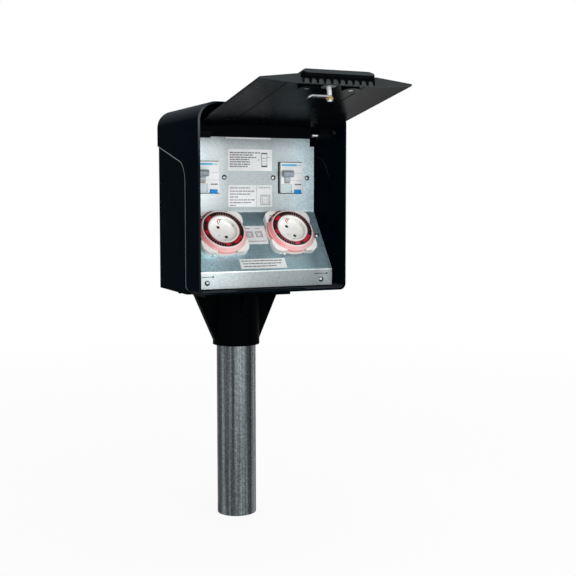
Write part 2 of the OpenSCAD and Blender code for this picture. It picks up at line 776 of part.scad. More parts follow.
module panel_screw(len) {
  dome_r = (screw_head * screw_head + dome_h * dome_h) / (2 * dome_h);
  difference() {
    union() {
      intersection() {
        translate([0, 0, dome_h - dome_r]) sphere(r = dome_r);
        cylinder(r = screw_head + 1, h = dome_h + 1);
      }
      translate([0, 0, -len]) cylinder(r = screw_r, h = len + 0.5);
    }
    translate([-1.5, -0.3, dome_h - 1]) cube([3, 0.6, 2]);
    translate([-0.3, -1.5, dome_h - 1]) cube([0.6, 3, 2]);
  }
}

module panel_screws() {
  color(steel) at_hood() for (sx = [-1, 1]) {
    translate([sx * post_x, panel_y, breaker_z]) rotate([90, 0, 0]) panel_screw(14);
    translate([sx * standoff_x, panel_y, breaker_z]) rotate([90, 0, 0]) panel_screw(12);
    at_panel() translate([sx * slant_screw_x, -slant_screw_t, 0]) panel_screw(6);
  }
}

module apron_screws() {
  color(steel) at_hood() for (sx = [-1, 1]) {
    translate([sx * apron_x, slant_y, apron_screw_z]) rotate([90, 0, 0]) panel_screw(9);
  }
}

module label_plates() {
  x0 = label_off - label_w / 2;
  z1 = fold_z + label_gap;
  z2 = breaker_z + screw_head + label_gap - 1.4;
  low = timer_t + timer_w / 2 + 7.2;
  mid = timer_t + 1;
  side = timer_x - timer_w / 2 - label_side;
  color(white) at_hood() {
    translate([x0, panel_y - label_t, z2]) cube([label_w, label_t, label_h]);
    translate([x0, panel_y - label_t, z1]) cube([label_w, label_t, breaker_z - 11 - z1]);
    at_panel() translate([-side, -mid - label_slant / 2, 0]) cube([2 * side, label_slant, label_t]);
    at_panel() translate([-0.5 - label_low_w / 2, 3.8 - slant_l, 0])
      cube([label_low_w, slant_l - 3.8 - low, label_t]);
  }
}

module din_rail() {
  h2 = rail_h / 2;
  h1 = h2 - 4;
  profile = [[rail_y, h1 - 1], [rail_y, h2], [rail_y + 1, h2], [rail_y + 1, h1], [rail_web, h1],
    [rail_web, -h1], [rail_y + 1, -h1], [rail_y + 1, -h2], [rail_y, -h2], [rail_y, 1 - h1],
    [rail_web - 1, 1 - h1], [rail_web - 1, h1 - 1]];
  color(steel) at_hood() translate([0, 0, breaker_z]) along_x(-rail_half, 2 * rail_half) polygon(profile);
}

module rail_standoffs() {
  len = rail_web - 1 - panel_back;
  color(steel) at_hood() for (sx = [-1, 1]) {
    translate([sx * standoff_x, panel_back, breaker_z]) rotate([-90, 0, 0]) difference() {
      cylinder(r = 5.5, h = len);
      translate([0, 0, -1]) cylinder(r = screw_r + 0.05, h = 14);
    }
  }
}

module terminal_blocks() {
  color([0.75, 0.76, 0.74]) at_hood() for (i = [0:4]) {
    translate([-20 + 8.2 * i, 0, breaker_z]) difference() {
      translate([-0.4, rail_y - block_d, -block_h / 2]) cube([7.9, block_d + 5, block_h]);
      translate([-1, rail_y - 0.2, -rail_h / 2 - 0.5]) cube([10, 10, rail_h + 1]);
      translate([3.6, rail_y - block_d - 1, block_h / 2 - 7]) rotate([-90, 0, 0]) cylinder(r = 2, h = 8);
      translate([3.6, rail_y - block_d - 1, 7 - block_h / 2]) rotate([-90, 0, 0]) cylinder(r = 2, h = 8);
    }
  }
}

module cable_grommet() {
  color([0.08, 0.08, 0.08]) at_hood() translate([0, tube_y, floor_z]) difference() {
    union() {
      cylinder(r = grommet_r, h = 3);
      translate([0, 0, -case_t - 3]) cylinder(r = cable_r - 0.1, h = case_t + 4);
    }
    translate([0, 0, -10]) cylinder(r = grommet_bore, h = 20);
  }
}

module at_breaker(sx) {
  at_hood() translate([sx * breaker_x, 0, 0]) children();
}

module breaker_case() {
  z = breaker_z;
  w2 = breaker_w / 2;
  difference() {
    union() {
      translate([-w2, nose_y, z - nose_h / 2]) cube([breaker_w, shoulder_y - nose_y + 1, nose_h]);
      translate([-w2, shoulder_y, z - breaker_h / 2]) cube([breaker_w, rail_y - shoulder_y + 4, breaker_h]);
    }
    translate([-w2 - 1, rail_y - 0.2, z - rail_h / 2 - 0.5]) cube([breaker_w + 2, 10, rail_h + 1]);
    translate([toggle_x, toggle_y, toggle_z]) rotate([0, 90, 0]) {
      cylinder(r = drum_r + drum_gap, h = stem_w + 1.2, center = true);
      cylinder(r = trunnion_r + trunnion_gap, h = stem_w + 4, center = true);
    }
    translate([button_x - button_w / 2 - button_gap, nose_y - 1, button_z - button_h / 2 - button_gap])
      cube([button_w + 2 * button_gap, 9, button_h + 2 * button_gap]);
    for (sx = [-1, 1]) {
      for (sz = [-1, 1]) {
        translate([sx * 9, shoulder_y - 1, z + sz * 34]) rotate([-90, 0, 0]) cylinder(r = 3.2, h = 8);
      }
    }
    translate([-w2 + 0.8, nose_y - 1, z - nose_h / 2 + 0.6]) cube([window_w + 0.2, 1.6, window_h + 0.2]);
  }
}

module breaker_left_case() {
  color(white) at_breaker(-1) breaker_case();
}

module breaker_right_case() {
  color(white) at_breaker(1) breaker_case();
}

module breaker_windows() {
  color([0.75, 0.9, 0.92]) for (sx = [-1, 1]) {
    at_breaker(sx) translate([-breaker_w / 2 + 0.9, nose_y, breaker_z - nose_h / 2 + 0.7])
      cube([window_w, 0.6, window_h]);
  }
}

module breaker_toggle() {
  translate([toggle_x, toggle_y, toggle_z]) {
    rotate([0, 90, 0]) cylinder(r = drum_r, h = stem_w + 0.4, center = true);
    rotate([0, 90, 0]) cylinder(r = trunnion_r, h = stem_w + 3.2, center = true);
    rotate([-toggle_a, 0, 0]) {
      translate([-stem_w / 2, -toggle_reach, -2]) cube([stem_w, toggle_reach, 4]);
      translate([knob_off, -toggle_reach, 0]) rotate([0, 90, 0])
        cylinder(r = knob_r, h = toggle_w, center = true);
    }
  }
}

module breaker_left_toggle() {
  color([0.5, 0.54, 0.57]) at_breaker(-1) breaker_toggle();
}

module breaker_right_toggle() {
  color([0.5, 0.54, 0.57]) at_breaker(1) breaker_toggle();
}

module breaker_button() {
  translate([button_x - button_w / 2, nose_y - button_out, button_z - button_h / 2])
    cube([button_w, 7, button_h]);
}

module breaker_left_button() {
  color([0.15, 0.4, 0.75]) at_breaker(-1) breaker_button();
}

module breaker_right_button() {
  color([0.15, 0.4, 0.75]) at_breaker(1) breaker_button();
}

module timer_base() {
  w2 = timer_w / 2;
  difference() {
    union() {
      cylinder(r = foot_r, h = plate_t);
      for (a = [0, 90, 180, 270]) {
        rotate([0, 0, a]) {
          translate([ear_in, ear_in, 0]) cube([w2 - ear_cr - ear_in, w2 - ear_in, ear_h]);
          translate([ear_in, ear_in, 0]) cube([w2 - ear_in, w2 - ear_cr - ear_in, ear_h]);
          translate([w2 - ear_cr, w2 - ear_cr, 0]) cylinder(r = ear_cr, h = ear_h);
        }
      }
    }
    translate([0, 0, plate_t]) cylinder(r = rim_r + rim_gap, h = ear_h);
    translate([0, 0, -1]) cylinder(r = neck_r + 0.1, h = ear_h);
    translate([-w2 + 8.5, w2 - 8.5, ear_h - 1.2]) cylinder(r = 0.9, h = 3);
    translate([lever_x - 6, -w2 - 1, 0.9]) cube([12, 4.2, 1.4]);
  }
}

module timer_lever() {
  w2 = timer_w / 2;
  translate([lever_x - 1.8, -w2 - 3.2, 1.2]) cube([3.6, 5.8, 0.8]);
  translate([lever_x - 1.8, -w2 - 3.2, 1.2]) cube([3.6, 2.6, 3.4]);
}

module timer_socket() {
  difference() {
    union() {
      translate([0, 0, -body_d]) cylinder(r = body_r, h = body_d);
      translate([0, 0, -1]) cylinder(r = neck_r, h = face_h + 1);
    }
    translate([0, 0, well_z]) cylinder(r = well_r, h = well_d + 1);
    translate([0, 0, face_h - 1]) cylinder(r1 = well_r, r2 = well_r + 1.2, h = 1.01);
    rotate([0, 0, contact_a]) for (s = [-1, 1]) {
      translate([s * contact_p, 0, -16]) cylinder(r = 3.2, h = 16 + well_z - 1.4);
      translate([s * contact_p, 0, 0]) cylinder(r = 2.6, h = well_z + 1);
      translate([-2.2, s * (well_r + 0.55) - 0.65, well_z - 4]) cube([4.4, 1.3, well_d + 2]);
    }
  }
}

module contact_sleeves() {
  color([0.8, 0.65, 0.3]) at_hood() for (sx = [-1, 1]) {
    at_timer(sx) rotate([0, 0, contact_a]) for (s = [-1, 1]) {
      translate([s * contact_p, 0, -16]) difference() {
        cylinder(r = 3.15, h = 16 + well_z - 1.5);
        translate([0, 0, 2]) cylinder(r = 2.5, h = 40);
      }
    }
  }
}

module earth_clips() {
  color(steel) at_hood() for (sx = [-1, 1]) {
    at_timer(sx) rotate([0, 0, contact_a]) for (s = [-1, 1]) {
      translate([-2.1, s * (well_r + 0.6) - 0.5, well_z - 3.9]) cube([4.2, 1, well_d + 1.8]);
    }
  }
}

module timer_dial() {
  color([0.06, 0.05, 0.05]) rotate_extrude() polygon([[neck_r + neck_gap, rim_z0], [ring_r, rim_z0],
    [ring_r, face_h - 1.3], [neck_r + neck_gap, face_h - 1.3]]);
}

module timer_rim() {
  r0 = ring_r + 0.1;
  color([0.95, 0.6, 0.6]) rotate_extrude() polygon([[r0, rim_z0], [rim_r, rim_z0], [rim_r, rim_z0 + rim_wall],
    [r0 + 1.2, face_h - 0.5], [r0, face_h - 0.5]]);
}

module timer_left_base() {
  color(white) at_hood() at_timer(-1) timer_base();
}

module timer_right_base() {
  color(white) at_hood() at_timer(1) timer_base();
}

module timer_left_socket() {
  color(white) at_hood() at_timer(-1) timer_socket();
}

module timer_right_socket() {
  color(white) at_hood() at_timer(1) timer_socket();
}

module timer_left_dial() {
  at_hood() at_timer(-1) timer_dial();
}

module timer_right_dial() {
  at_hood() at_timer(1) timer_dial();
}

module timer_left_rim() {
  at_hood() at_timer(-1) timer_rim();
}

module timer_right_rim() {
  at_hood() at_timer(1) timer_rim();
}

module timer_left_lever() {
  color(white) at_hood() at_timer(-1) timer_lever();
}

module timer_right_lever() {
  color(white) at_hood() at_timer(1) timer_lever();
}

post_tube();
collar();
collar_bolts();
collar_nuts();
collar_set_screws();
rear_casing();
casing_screws();
hood();
hood_screws();
hinge_pins();
lid();
lid_handle();
handle_screws();
lock_body();
lock_nut();
lock_core();
lock_cam();
cam_nut();
cam_screw();
instrument_panel();
panel_brackets();
panel_screws();
apron_screws();
label_plates();
din_rail();
rail_standoffs();
terminal_blocks();
cable_grommet();
breaker_left_case();
breaker_right_case();
breaker_windows();
breaker_left_toggle();
breaker_right_toggle();
breaker_left_button();
breaker_right_button();
timer_left_base();
timer_right_base();
timer_left_socket();
timer_right_socket();
timer_left_dial();
timer_right_dial();
timer_left_rim();
timer_right_rim();
timer_left_lever();
timer_right_lever();
contact_sleeves();
earth_clips();
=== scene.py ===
import json
import math
import random

import bmesh
import bpy
from bpy.props import FloatProperty, FloatVectorProperty, IntProperty, PointerProperty
from mathutils import Matrix, Vector
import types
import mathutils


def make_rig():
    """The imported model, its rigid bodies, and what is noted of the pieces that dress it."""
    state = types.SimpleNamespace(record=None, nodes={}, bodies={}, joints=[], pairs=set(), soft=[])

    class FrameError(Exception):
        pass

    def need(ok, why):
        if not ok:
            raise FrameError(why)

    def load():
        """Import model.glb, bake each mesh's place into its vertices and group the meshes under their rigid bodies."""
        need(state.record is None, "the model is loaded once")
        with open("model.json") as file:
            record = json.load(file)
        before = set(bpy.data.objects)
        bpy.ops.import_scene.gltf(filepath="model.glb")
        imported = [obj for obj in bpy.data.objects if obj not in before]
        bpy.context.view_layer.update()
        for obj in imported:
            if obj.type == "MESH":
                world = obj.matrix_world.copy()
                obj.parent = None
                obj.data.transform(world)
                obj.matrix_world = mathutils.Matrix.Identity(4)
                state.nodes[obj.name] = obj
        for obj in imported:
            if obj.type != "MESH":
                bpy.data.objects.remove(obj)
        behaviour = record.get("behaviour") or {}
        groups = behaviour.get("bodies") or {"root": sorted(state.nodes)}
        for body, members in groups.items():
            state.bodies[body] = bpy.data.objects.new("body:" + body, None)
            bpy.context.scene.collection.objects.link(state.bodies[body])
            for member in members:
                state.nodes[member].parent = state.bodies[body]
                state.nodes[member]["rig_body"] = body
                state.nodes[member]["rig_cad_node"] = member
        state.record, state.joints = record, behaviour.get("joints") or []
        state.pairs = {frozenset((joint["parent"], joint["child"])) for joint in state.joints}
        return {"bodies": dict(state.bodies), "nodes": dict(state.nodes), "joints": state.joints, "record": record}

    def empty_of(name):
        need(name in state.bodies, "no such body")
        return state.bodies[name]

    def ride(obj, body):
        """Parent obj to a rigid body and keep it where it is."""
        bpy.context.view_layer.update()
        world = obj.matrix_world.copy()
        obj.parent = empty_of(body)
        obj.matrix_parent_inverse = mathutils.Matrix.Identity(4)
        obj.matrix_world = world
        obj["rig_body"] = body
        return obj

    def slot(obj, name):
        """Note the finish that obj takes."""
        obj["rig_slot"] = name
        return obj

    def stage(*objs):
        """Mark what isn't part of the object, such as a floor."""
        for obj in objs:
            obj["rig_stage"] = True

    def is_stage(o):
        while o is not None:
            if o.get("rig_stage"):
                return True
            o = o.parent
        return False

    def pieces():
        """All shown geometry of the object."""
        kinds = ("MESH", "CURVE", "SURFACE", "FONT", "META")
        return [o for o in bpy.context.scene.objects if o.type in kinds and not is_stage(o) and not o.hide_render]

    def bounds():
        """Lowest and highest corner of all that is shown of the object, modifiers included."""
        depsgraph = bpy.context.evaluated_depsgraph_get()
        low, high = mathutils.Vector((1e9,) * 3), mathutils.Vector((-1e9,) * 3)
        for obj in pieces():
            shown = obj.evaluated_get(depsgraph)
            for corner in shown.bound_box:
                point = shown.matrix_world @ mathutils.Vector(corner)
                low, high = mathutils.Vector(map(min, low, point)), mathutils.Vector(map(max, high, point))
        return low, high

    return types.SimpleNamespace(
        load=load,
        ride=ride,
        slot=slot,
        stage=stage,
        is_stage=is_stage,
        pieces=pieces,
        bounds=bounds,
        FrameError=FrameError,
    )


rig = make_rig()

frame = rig.load()
CAD_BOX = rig.bounds()
NODES = frame["nodes"]

bl_info = {
    "name": "Garden Socket Post",
    "version": (1, 0, 0),
    "blender": (4, 5, 0),
    "location": "View3D > Sidebar > Socket Post",
    "description": "Finishes and fine pieces of a garden socket post with two socket timers",
    "category": "Object",
}


def shift(x, y, z):
    """Move by metres."""
    return Matrix.Translation((x, y, z))


def tilt(degrees):
    """Turn about the x axis."""
    return Matrix.Rotation(math.radians(degrees), 4, "X")


# Frames on the solids, in metres and degrees.

HOOD_FRONT = -0.150
HOOD_FLOOR = 0.357
PANEL_DEPTH = 0.095
FOLD_HEIGHT = 0.1116
SLANT_LEAN = 53.2
HINGE_DEPTH = 0.034
HINGE_HEIGHT = 0.222
LID_LEAN = -10.2
HOOD = shift(0.0, HOOD_FRONT, HOOD_FLOOR)
FRONT = HOOD @ shift(0.0, PANEL_DEPTH, 0.0) @ tilt(90.0)
SLANT = HOOD @ shift(0.0, PANEL_DEPTH, FOLD_HEIGHT) @ tilt(SLANT_LEAN)
LID = HOOD @ shift(0.0, HINGE_DEPTH, HINGE_HEIGHT) @ tilt(LID_LEAN)

# Places on the solids, in millimetres.

MM = 0.001
SIDES = {"left": -1.0, "right": 1.0}
BREAKER_X = 66.9
TOGGLE_AXIS = Vector((-7.8, 159.5, 3.5))
TIMER_X = 54.0
TIMER_DOWN = 40.8
HOOD_HALF = 112.0
HOOD_DEPTH = 185.0
FOOT_R = 9.0
STEP_Y = 57.0
STEP_Z = 154.0
STEP_R = 30.0
STEP_RISE = 13.8
STEP_END = 184.3

# Ways that a surface can face.

UP = (0.0, 0.0, 1.0)
AHEAD = (0.0, -1.0, 0.0)
BEHIND = (0.0, 1.0, 0.0)
LEFTWARD = (-1.0, 0.0, 0.0)


# Mesh helpers: every measure is in millimetres of the piece's own frame.

BOX_FACES = ((3, 2, 1, 0), (4, 5, 6, 7), (0, 1, 5, 4), (1, 2, 6, 5), (2, 3, 7, 6), (3, 0, 4, 7))
DASH_LENGTH = (2.2, 6.5)
DASH_GAP = (0.6, 1.1)
SHORTEST_DASH = 1.0
SHARP_ANGLE = 40.0
WELD_GAP = 0.00001
FLAT_ANGLE = 0.2
NORMAL_WEIGHT = 80


def slab(bm, x, y, z, tint=0):
    """Closed block between the two ends of x, y and z."""
    ends = [(x[0], y[0]), (x[1], y[0]), (x[1], y[1]), (x[0], y[1])]
    points = [bm.verts.new((i * MM, j * MM, k * MM)) for k in z for i, j in ends]
    for turn in BOX_FACES:
        bm.faces.new([points[i] for i in turn]).material_index = tint


def oblong(r, h):
    """Section with four corners, between two radii and two heights."""
    return [(r[0], h[0]), (r[1], h[0]), (r[1], h[1]), (r[0], h[1])]


def spread(middle, half):
    """Two ends, equally far from the middle."""
    return (middle - half, middle + half)


def loft(bm, rings, tint=0):
    """Closed block through a row of rings of points."""
    rings = [[bm.verts.new([v * MM for v in point]) for point in ring] for ring in rings]
    n = len(rings[0])
    for near, far in zip(rings, rings[1:]):
        for i in range(n):
            j = (i + 1) % n
            bm.faces.new((near[i], far[i], far[j], near[j])).material_index = tint
    bm.faces.new(rings[0]).material_index = tint
    bm.faces.new(rings[-1][::-1]).material_index = tint


def arc_block(bm, section, start, end, steps, tint=0):
    """Closed block swept about the local z axis; section holds (radius, height) pairs."""
    rings = []
    for i in range(steps + 1):
        a = math.radians(start + (end - start) * i / steps)
        rings.append([(r * math.cos(a), r * math.sin(a), h) for r, h in section])
    loft(bm, rings, tint)


def turned(bm, profile, centre, tint=0, steps=16):
    """Closed round block on an upright axis; profile holds (radius, height) pairs from end to end."""
    x, y = centre
    turns = [2.0 * math.pi * i / steps for i in range(steps)]
    rings = [[(x + r * math.cos(a), y + r * math.sin(a), h) for a in turns] for r, h in profile]
    loft(bm, rings, tint)


def ribbon(bm, path, x, near, far):
    """Closed strip along a side view path, between two offsets from it."""
    rings = []
    for (y, z), (ny, nz) in path:
        low, high = [(y + ny * d, z + nz * d) for d in (near, far)]
        rings.append([(x[0], *low), (x[0], *high), (x[1], *high), (x[1], *low)])
    loft(bm, rings)


def frame_lines(bm, x, y, z, line):
    """Four thin blocks that draw a rectangle."""
    slab(bm, x, (y[0], y[0] + line), z)
    slab(bm, x, (y[1] - line, y[1]), z)
    slab(bm, (x[0], x[0] + line), (y[0] + line, y[1] - line), z)
    slab(bm, (x[1] - line, x[1]), (y[0] + line, y[1] - line), z)


def ruled_row(bm, x, y, high, z, seed):
    """Row of plain dashes of uneven length."""
    dice = random.Random(seed)
    at = x[0]
    while at < x[1] - SHORTEST_DASH:
        end = min(at + dice.uniform(*DASH_LENGTH), x[1])
        slab(bm, (at, end), spread(y, high / 2), z)
        at = end + dice.uniform(*DASH_GAP)


def piece(name, bm, place, body, slot, finishes, edge=0.0):
    """Turns a mesh into a named piece that rides on a body."""
    bmesh.ops.recalc_face_normals(bm, faces=bm.faces)
    mesh = bpy.data.meshes.new(name)
    bm.to_mesh(mesh)
    bm.free()
    mesh.transform(place)
    obj = bpy.data.objects.new(name, mesh)
    bpy.context.scene.collection.objects.link(obj)
    for finish in finishes:
        mesh.materials.append(finish)
    if edge:
        rim = obj.modifiers.new("Edges", "BEVEL")
        rim.width = edge
        rim.segments = 2
        rim.limit_method = "ANGLE"
        rim.angle_limit = math.radians(SHARP_ANGLE)
    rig.ride(obj, body)
    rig.slot(obj, slot)
    return obj


def dress(finish, *names):
    """Puts a finish on carried-over nodes."""
    for name in names:
        slots = NODES[name].material_slots
        if not slots:
            NODES[name].data.materials.append(finish)
        for slot in slots:
            slot.material = finish


def soften(width, *names, angle=30.0, segments=2, merge=True):
    """Breaks the sharp edges of carried-over nodes with real bevels."""
    for name in names:
        stack = NODES[name].modifiers
        weld = stack.new("Weld", "WELD")
        weld.merge_threshold = WELD_GAP
        if merge:
            planes = stack.new("Planes", "DECIMATE")
            planes.decimate_type = "DISSOLVE"
            planes.angle_limit = math.radians(FLAT_ANGLE)
        edges = stack.new("Edges", "BEVEL")
        edges.width = width
        edges.segments = segments
        edges.limit_method = "ANGLE"
        edges.angle_limit = math.radians(angle)
        edges.miter_outer = "MITER_ARC"
        normals = stack.new("Normals", "WEIGHTED_NORMAL")
        normals.weight = NORMAL_WEIGHT


# Material helpers.

def make(tree, kind, values, **modes):
    """New node; each input gets a link or a value, and a colour may be three values."""
    node = tree.nodes.new(kind)
    for name, mode in modes.items():
        setattr(node, name, mode)
    for name, value in values.items():
        socket = node.inputs[name]
        if isinstance(value, bpy.types.NodeSocket):
            tree.links.new(value, socket)
        else:
            socket.default_value = (*value, 1.0) if socket.type == "RGBA" else value
    return node


def start_finish(name, colour, rough, metal=0.0, gloss=0.5):
    """New material with one skin shader; returns material, tree, skin and object coordinates."""
    finish = bpy.data.materials.new(name)
    finish.use_nodes = True
    finish.diffuse_color = (*colour, 1.0)
    tree = finish.node_tree
    tree.nodes.clear()
    out = tree.nodes.new("ShaderNodeOutputMaterial")
    skin = make(tree, "ShaderNodeBsdfPrincipled", {
        "Base Color": colour, "Roughness": rough, "Metallic": metal, "Specular IOR Level": gloss})
    tree.links.new(skin.outputs["BSDF"], out.inputs["Surface"])
    where = tree.nodes.new("ShaderNodeTexCoord").outputs["Object"]
    return finish, tree, skin, where


def noise(tree, where, scale, detail=3.0, stretch=None):
    """Cloud pattern; stretch squeezes the coordinates."""
    if stretch:
        where = make(tree, "ShaderNodeMapping", {"Vector": where, "Scale": stretch}).outputs["Vector"]
    cloud = make(tree, "ShaderNodeTexNoise", {"Vector": where, "Scale": scale, "Detail": detail})
    return cloud.outputs["Fac"]


def spangle(tree, where, size):
    """Random value for each crystal of a zinc coat."""
    crystal = make(tree, "ShaderNodeTexVoronoi", {"Vector": where, "Scale": 1.0 / size})
    return make(tree, "ShaderNodeSeparateColor", {"Color": crystal.outputs["Color"]}).outputs["Red"]


def split(tree, where):
    """The x, y and z of each point."""
    return make(tree, "ShaderNodeSeparateXYZ", {"Vector": where}).outputs[:]


def sums(tree, kind, a, b):
    """One arithmetic step between two values or outputs."""
    return make(tree, "ShaderNodeMath", {0: a, 1: b}, operation=kind).outputs["Value"]


def span(tree, value, low, high, start=0.3, end=0.7):
    """Maps a pattern onto the range from low to high."""
    reach = make(tree, "ShaderNodeMapRange", {
        "Value": value, "From Min": start, "From Max": end, "To Min": low, "To Max": high})
    return reach.outputs["Result"]


def tints(tree, value, stops):
    """Colour ramp; stops holds (place, colour) pairs."""
    node = tree.nodes.new("ShaderNodeValToRGB")
    ramp = node.color_ramp
    while len(ramp.elements) < len(stops):
        ramp.elements.new(1.0)
    for element, (place, colour) in zip(ramp.elements, stops):
        element.position = place
        element.color = (*colour, 1.0)
    tree.links.new(value, node.inputs["Fac"])
    return node.outputs["Color"]


def levels(tree, value, stops):
    """Ramp of greys; stops holds (place, level) pairs."""
    return tints(tree, value, [(place, (level,) * 3) for place, level in stops])


def mixed(tree, share, a, b, blend="MIX"):
    """Colour between a and b; each is an output or a colour."""
    join = make(tree, "ShaderNodeMix", {0: share, 6: a, 7: b}, data_type="RGBA", blend_type=blend)
    return join.outputs[2]


def times(tree, a, b):
    """Product of two colours."""
    return mixed(tree, 1.0, a, b, "MULTIPLY")


def along(tree, where, direction, origin=(0.0, 0.0, 0.0)):
    """Distance of each point from origin, measured along a direction."""
    dot = make(tree, "ShaderNodeVectorMath", {0: where, 1: direction}, operation="DOT_PRODUCT")
    return sums(tree, "SUBTRACT", dot.outputs["Value"], Vector(direction).dot(Vector(origin)))


def within(tree, where, place, axis):
    """Coordinate of each point on one axis of a frame."""
    return along(tree, where, place.col[axis].to_3d(), place.translation)


def turn_of(tree, y, x):
    """Bearing of each point about a middle, from 0 to 1."""
    turn = sums(tree, "DIVIDE", sums(tree, "ARCTAN2", y, x), 2.0 * math.pi)
    return sums(tree, "FRACT", sums(tree, "ADD", turn, 1.0), 0.0)


def paint(tree, skin, shade):
    """Colours the skin by a pattern."""
    tree.links.new(shade, skin.inputs["Base Color"])


def roughen(tree, skin, pattern, low, high, start=0.3, end=0.7):
    """Varies the gloss of the skin by a pattern."""
    tree.links.new(span(tree, pattern, low, high, start, end), skin.inputs["Roughness"])


def relief(tree, skin, height, strength, depth):
    """Fine surface relief."""
    bump = make(tree, "ShaderNodeBump", {"Strength": strength, "Distance": depth, "Height": height})
    tree.links.new(bump.outputs["Normal"], skin.inputs["Normal"])


def scaled(colour, by):
    """Colour made darker or lighter."""
    return tuple(min(1.0, v * by) for v in colour)


def blued(colour, by):
    """Colour made darker and colder."""
    return (colour[0] * by * 0.78, colour[1] * by * 1.03, colour[2] * by * 1.13)


def mottled(tree, cloud, colour, dark, pale):
    """Colour that goes from dark to pale over a cloud pattern."""
    return tints(tree, cloud, [(0.3, scaled(colour, dark)), (0.7, scaled(colour, pale))])


# Finishes: places on the solids are in metres.

# Hood and collar where they face behind: a painted sheen that shows their form.
BACK_PAINTED_SHEEN = (0.017, 0.02, 0.023)
# Hood roof where it faces up: a painted sheen in place of the sky's reflection.
ROOF_PAINTED_SHEEN = (0.045, 0.052, 0.058)
# Painted highlight along the front edge on the left of the hood.
HOOD_EDGE_HIGHLIGHT = (0.06, 0.066, 0.07)
# Painted light on the front lip of the lid where it faces ahead.
LIP_PAINTED_LIGHT = (0.03, 0.034, 0.036)
# Painted highlight on the top bevel of the handle.
GRIP_PAINTED_HIGHLIGHT = (0.032, 0.037, 0.04)
# Painted light in the finger arches under the handle.
ARCH_PAINTED_LIGHT = (0.055, 0.061, 0.064)
# Painted shade on the breaker case behind the nose.
BREAKER_GAP_SHADE = (0.02, 0.024, 0.025)
# Clear rim: the pink tint, and paler tones that paint light through the clear plastic.
RIM_PINK = (0.98, 0.34, 0.34)
RIM_PAINTED_PALE = (0.89, 0.61, 0.6)
RIM_FOOT_PAINTED_PALE = (0.93, 0.52, 0.51)
HOOD_EDGE_AHEAD = (0.149, 0.1498)
HOOD_EDGE_LEFT = (0.085, 0.106)
HOOD_EDGE_HIGH = (0.54, 0.59)
LIP_DEPTH = (-0.226, -0.222)
ARCH_DEPTH = (-0.2340, -0.2332)
ARCH_RISE = (0.0105, 0.0122)
SHAFT_TOP = 0.0098
SHEET_RISE = (0.36, 0.58)
SHEET_ACROSS = (-0.11, 0.11)
RIM_RISE = (0.0034, 0.0157)
NOSE_START = (0.0012, 0.002)
TOGGLE_STEM = 0.0088
DRUM_MIDDLE = -0.0005
# Bearing round the tube and brightness: painted reflections, with the dark weld seam at 0.662.
TUBE_PAINTED_REFLECTIONS = (
    (0.0, 0.62), (0.1, 1.2), (0.22, 0.55), (0.33, 1.25), (0.43, 0.3), (0.528, 0.12), (0.575, 1.7),
    (0.607, 0.68), (0.64, 0.85), (0.654, 0.75), (0.662, 0.32), (0.67, 0.55), (0.707, 0.95), (0.745, 1.17),
    (0.778, 0.8), (0.814, 0.2), (0.85, 1.2), (0.866, 1.5), (0.89, 0.4), (0.95, 0.3), (1.0, 0.62))


def moulded(name, colour, rough, gloss, grain=900.0, depth=0.00006):
    """Moulded plastic: cloudy shade, uneven gloss and a fine grain."""
    finish, tree, skin, where = start_finish(name, colour, rough, 0.0, gloss)
    paint(tree, skin, mottled(tree, noise(tree, where, 22.0, 5.0), colour, 0.86, 1.12))
    roughen(tree, skin, noise(tree, where, 60.0, 4.0), rough * 0.88, rough * 1.12)
    relief(tree, skin, noise(tree, where, grain, 2.0), 0.25, depth)
    return finish


def plated(name, colour, rough, grain=0.0008):
    """Plated or bare metal with a cloudy shade and fine brush marks."""
    finish, tree, skin, where = start_finish(name, colour, rough, 1.0)
    paint(tree, skin, mottled(tree, noise(tree, where, 180.0, 4.0), colour, 0.8, 1.12))
    roughen(tree, skin, noise(tree, where, 1.0 / grain, 3.0), rough * 0.75, rough * 1.3)
    relief(tree, skin, noise(tree, where, 1600.0, 2.0), 0.12, 0.00004)
    return finish


def coat(finish):
    """Tree, skin, colour so far, object coordinates and facing of a finish that is worked further."""
    tree = finish.node_tree
    skin = next(n for n in tree.nodes if n.type == "BSDF_PRINCIPLED")
    shade = skin.inputs["Base Color"].links[0].from_socket
    where = tree.nodes.new("ShaderNodeTexCoord")
    return tree, skin, shade, where.outputs["Object"], where.outputs["Normal"]


def painted_by_facing(name, colour, rough, gloss, pale, start=0.25, end=0.6, toward=UP):
    """Moulded plastic with a painted shade or painted light where its surface faces one way, up if not said."""
    finish = moulded(name, colour, rough, gloss)
    tree, skin, shade, _, facing = coat(finish)
    turned_to = span(tree, along(tree, facing, toward), 0.0, 1.0, start, end)
    paint(tree, skin, mixed(tree, turned_to, shade, pale))
    return finish


def hood_plastic(colour):
    """Black hood plastic with painted light: a painted sheen on the roof and on the back, and a painted highlight
    along the front edge on the left.
    """
    finish = painted_by_facing("hood_black", colour, 0.4, 0.0005, ROOF_PAINTED_SHEEN, 0.1, 0.95)
    tree, skin, shade, where, facing = coat(finish)
    # Painted highlight along the upper front edge on the left of the hood.
    front = span(tree, along(tree, where, AHEAD), 0.0, 1.0, *HOOD_EDGE_AHEAD)
    left = span(tree, along(tree, where, LEFTWARD), 0.0, 1.0, *HOOD_EDGE_LEFT)
    high = span(tree, along(tree, where, UP), 0.12, 1.0, *HOOD_EDGE_HIGH)
    painted_light_share = sums(tree, "MULTIPLY", sums(tree, "MULTIPLY", front, left), high)
    shade = mixed(tree, painted_light_share, shade, HOOD_EDGE_HIGHLIGHT)
    # Faces turned behind are painted paler, a painted sheen.
    behind = span(tree, along(tree, facing, BEHIND), 0.0, 1.0, 0.1, 0.9)
    paint(tree, skin, mixed(tree, behind, shade, BACK_PAINTED_SHEEN))
    return finish


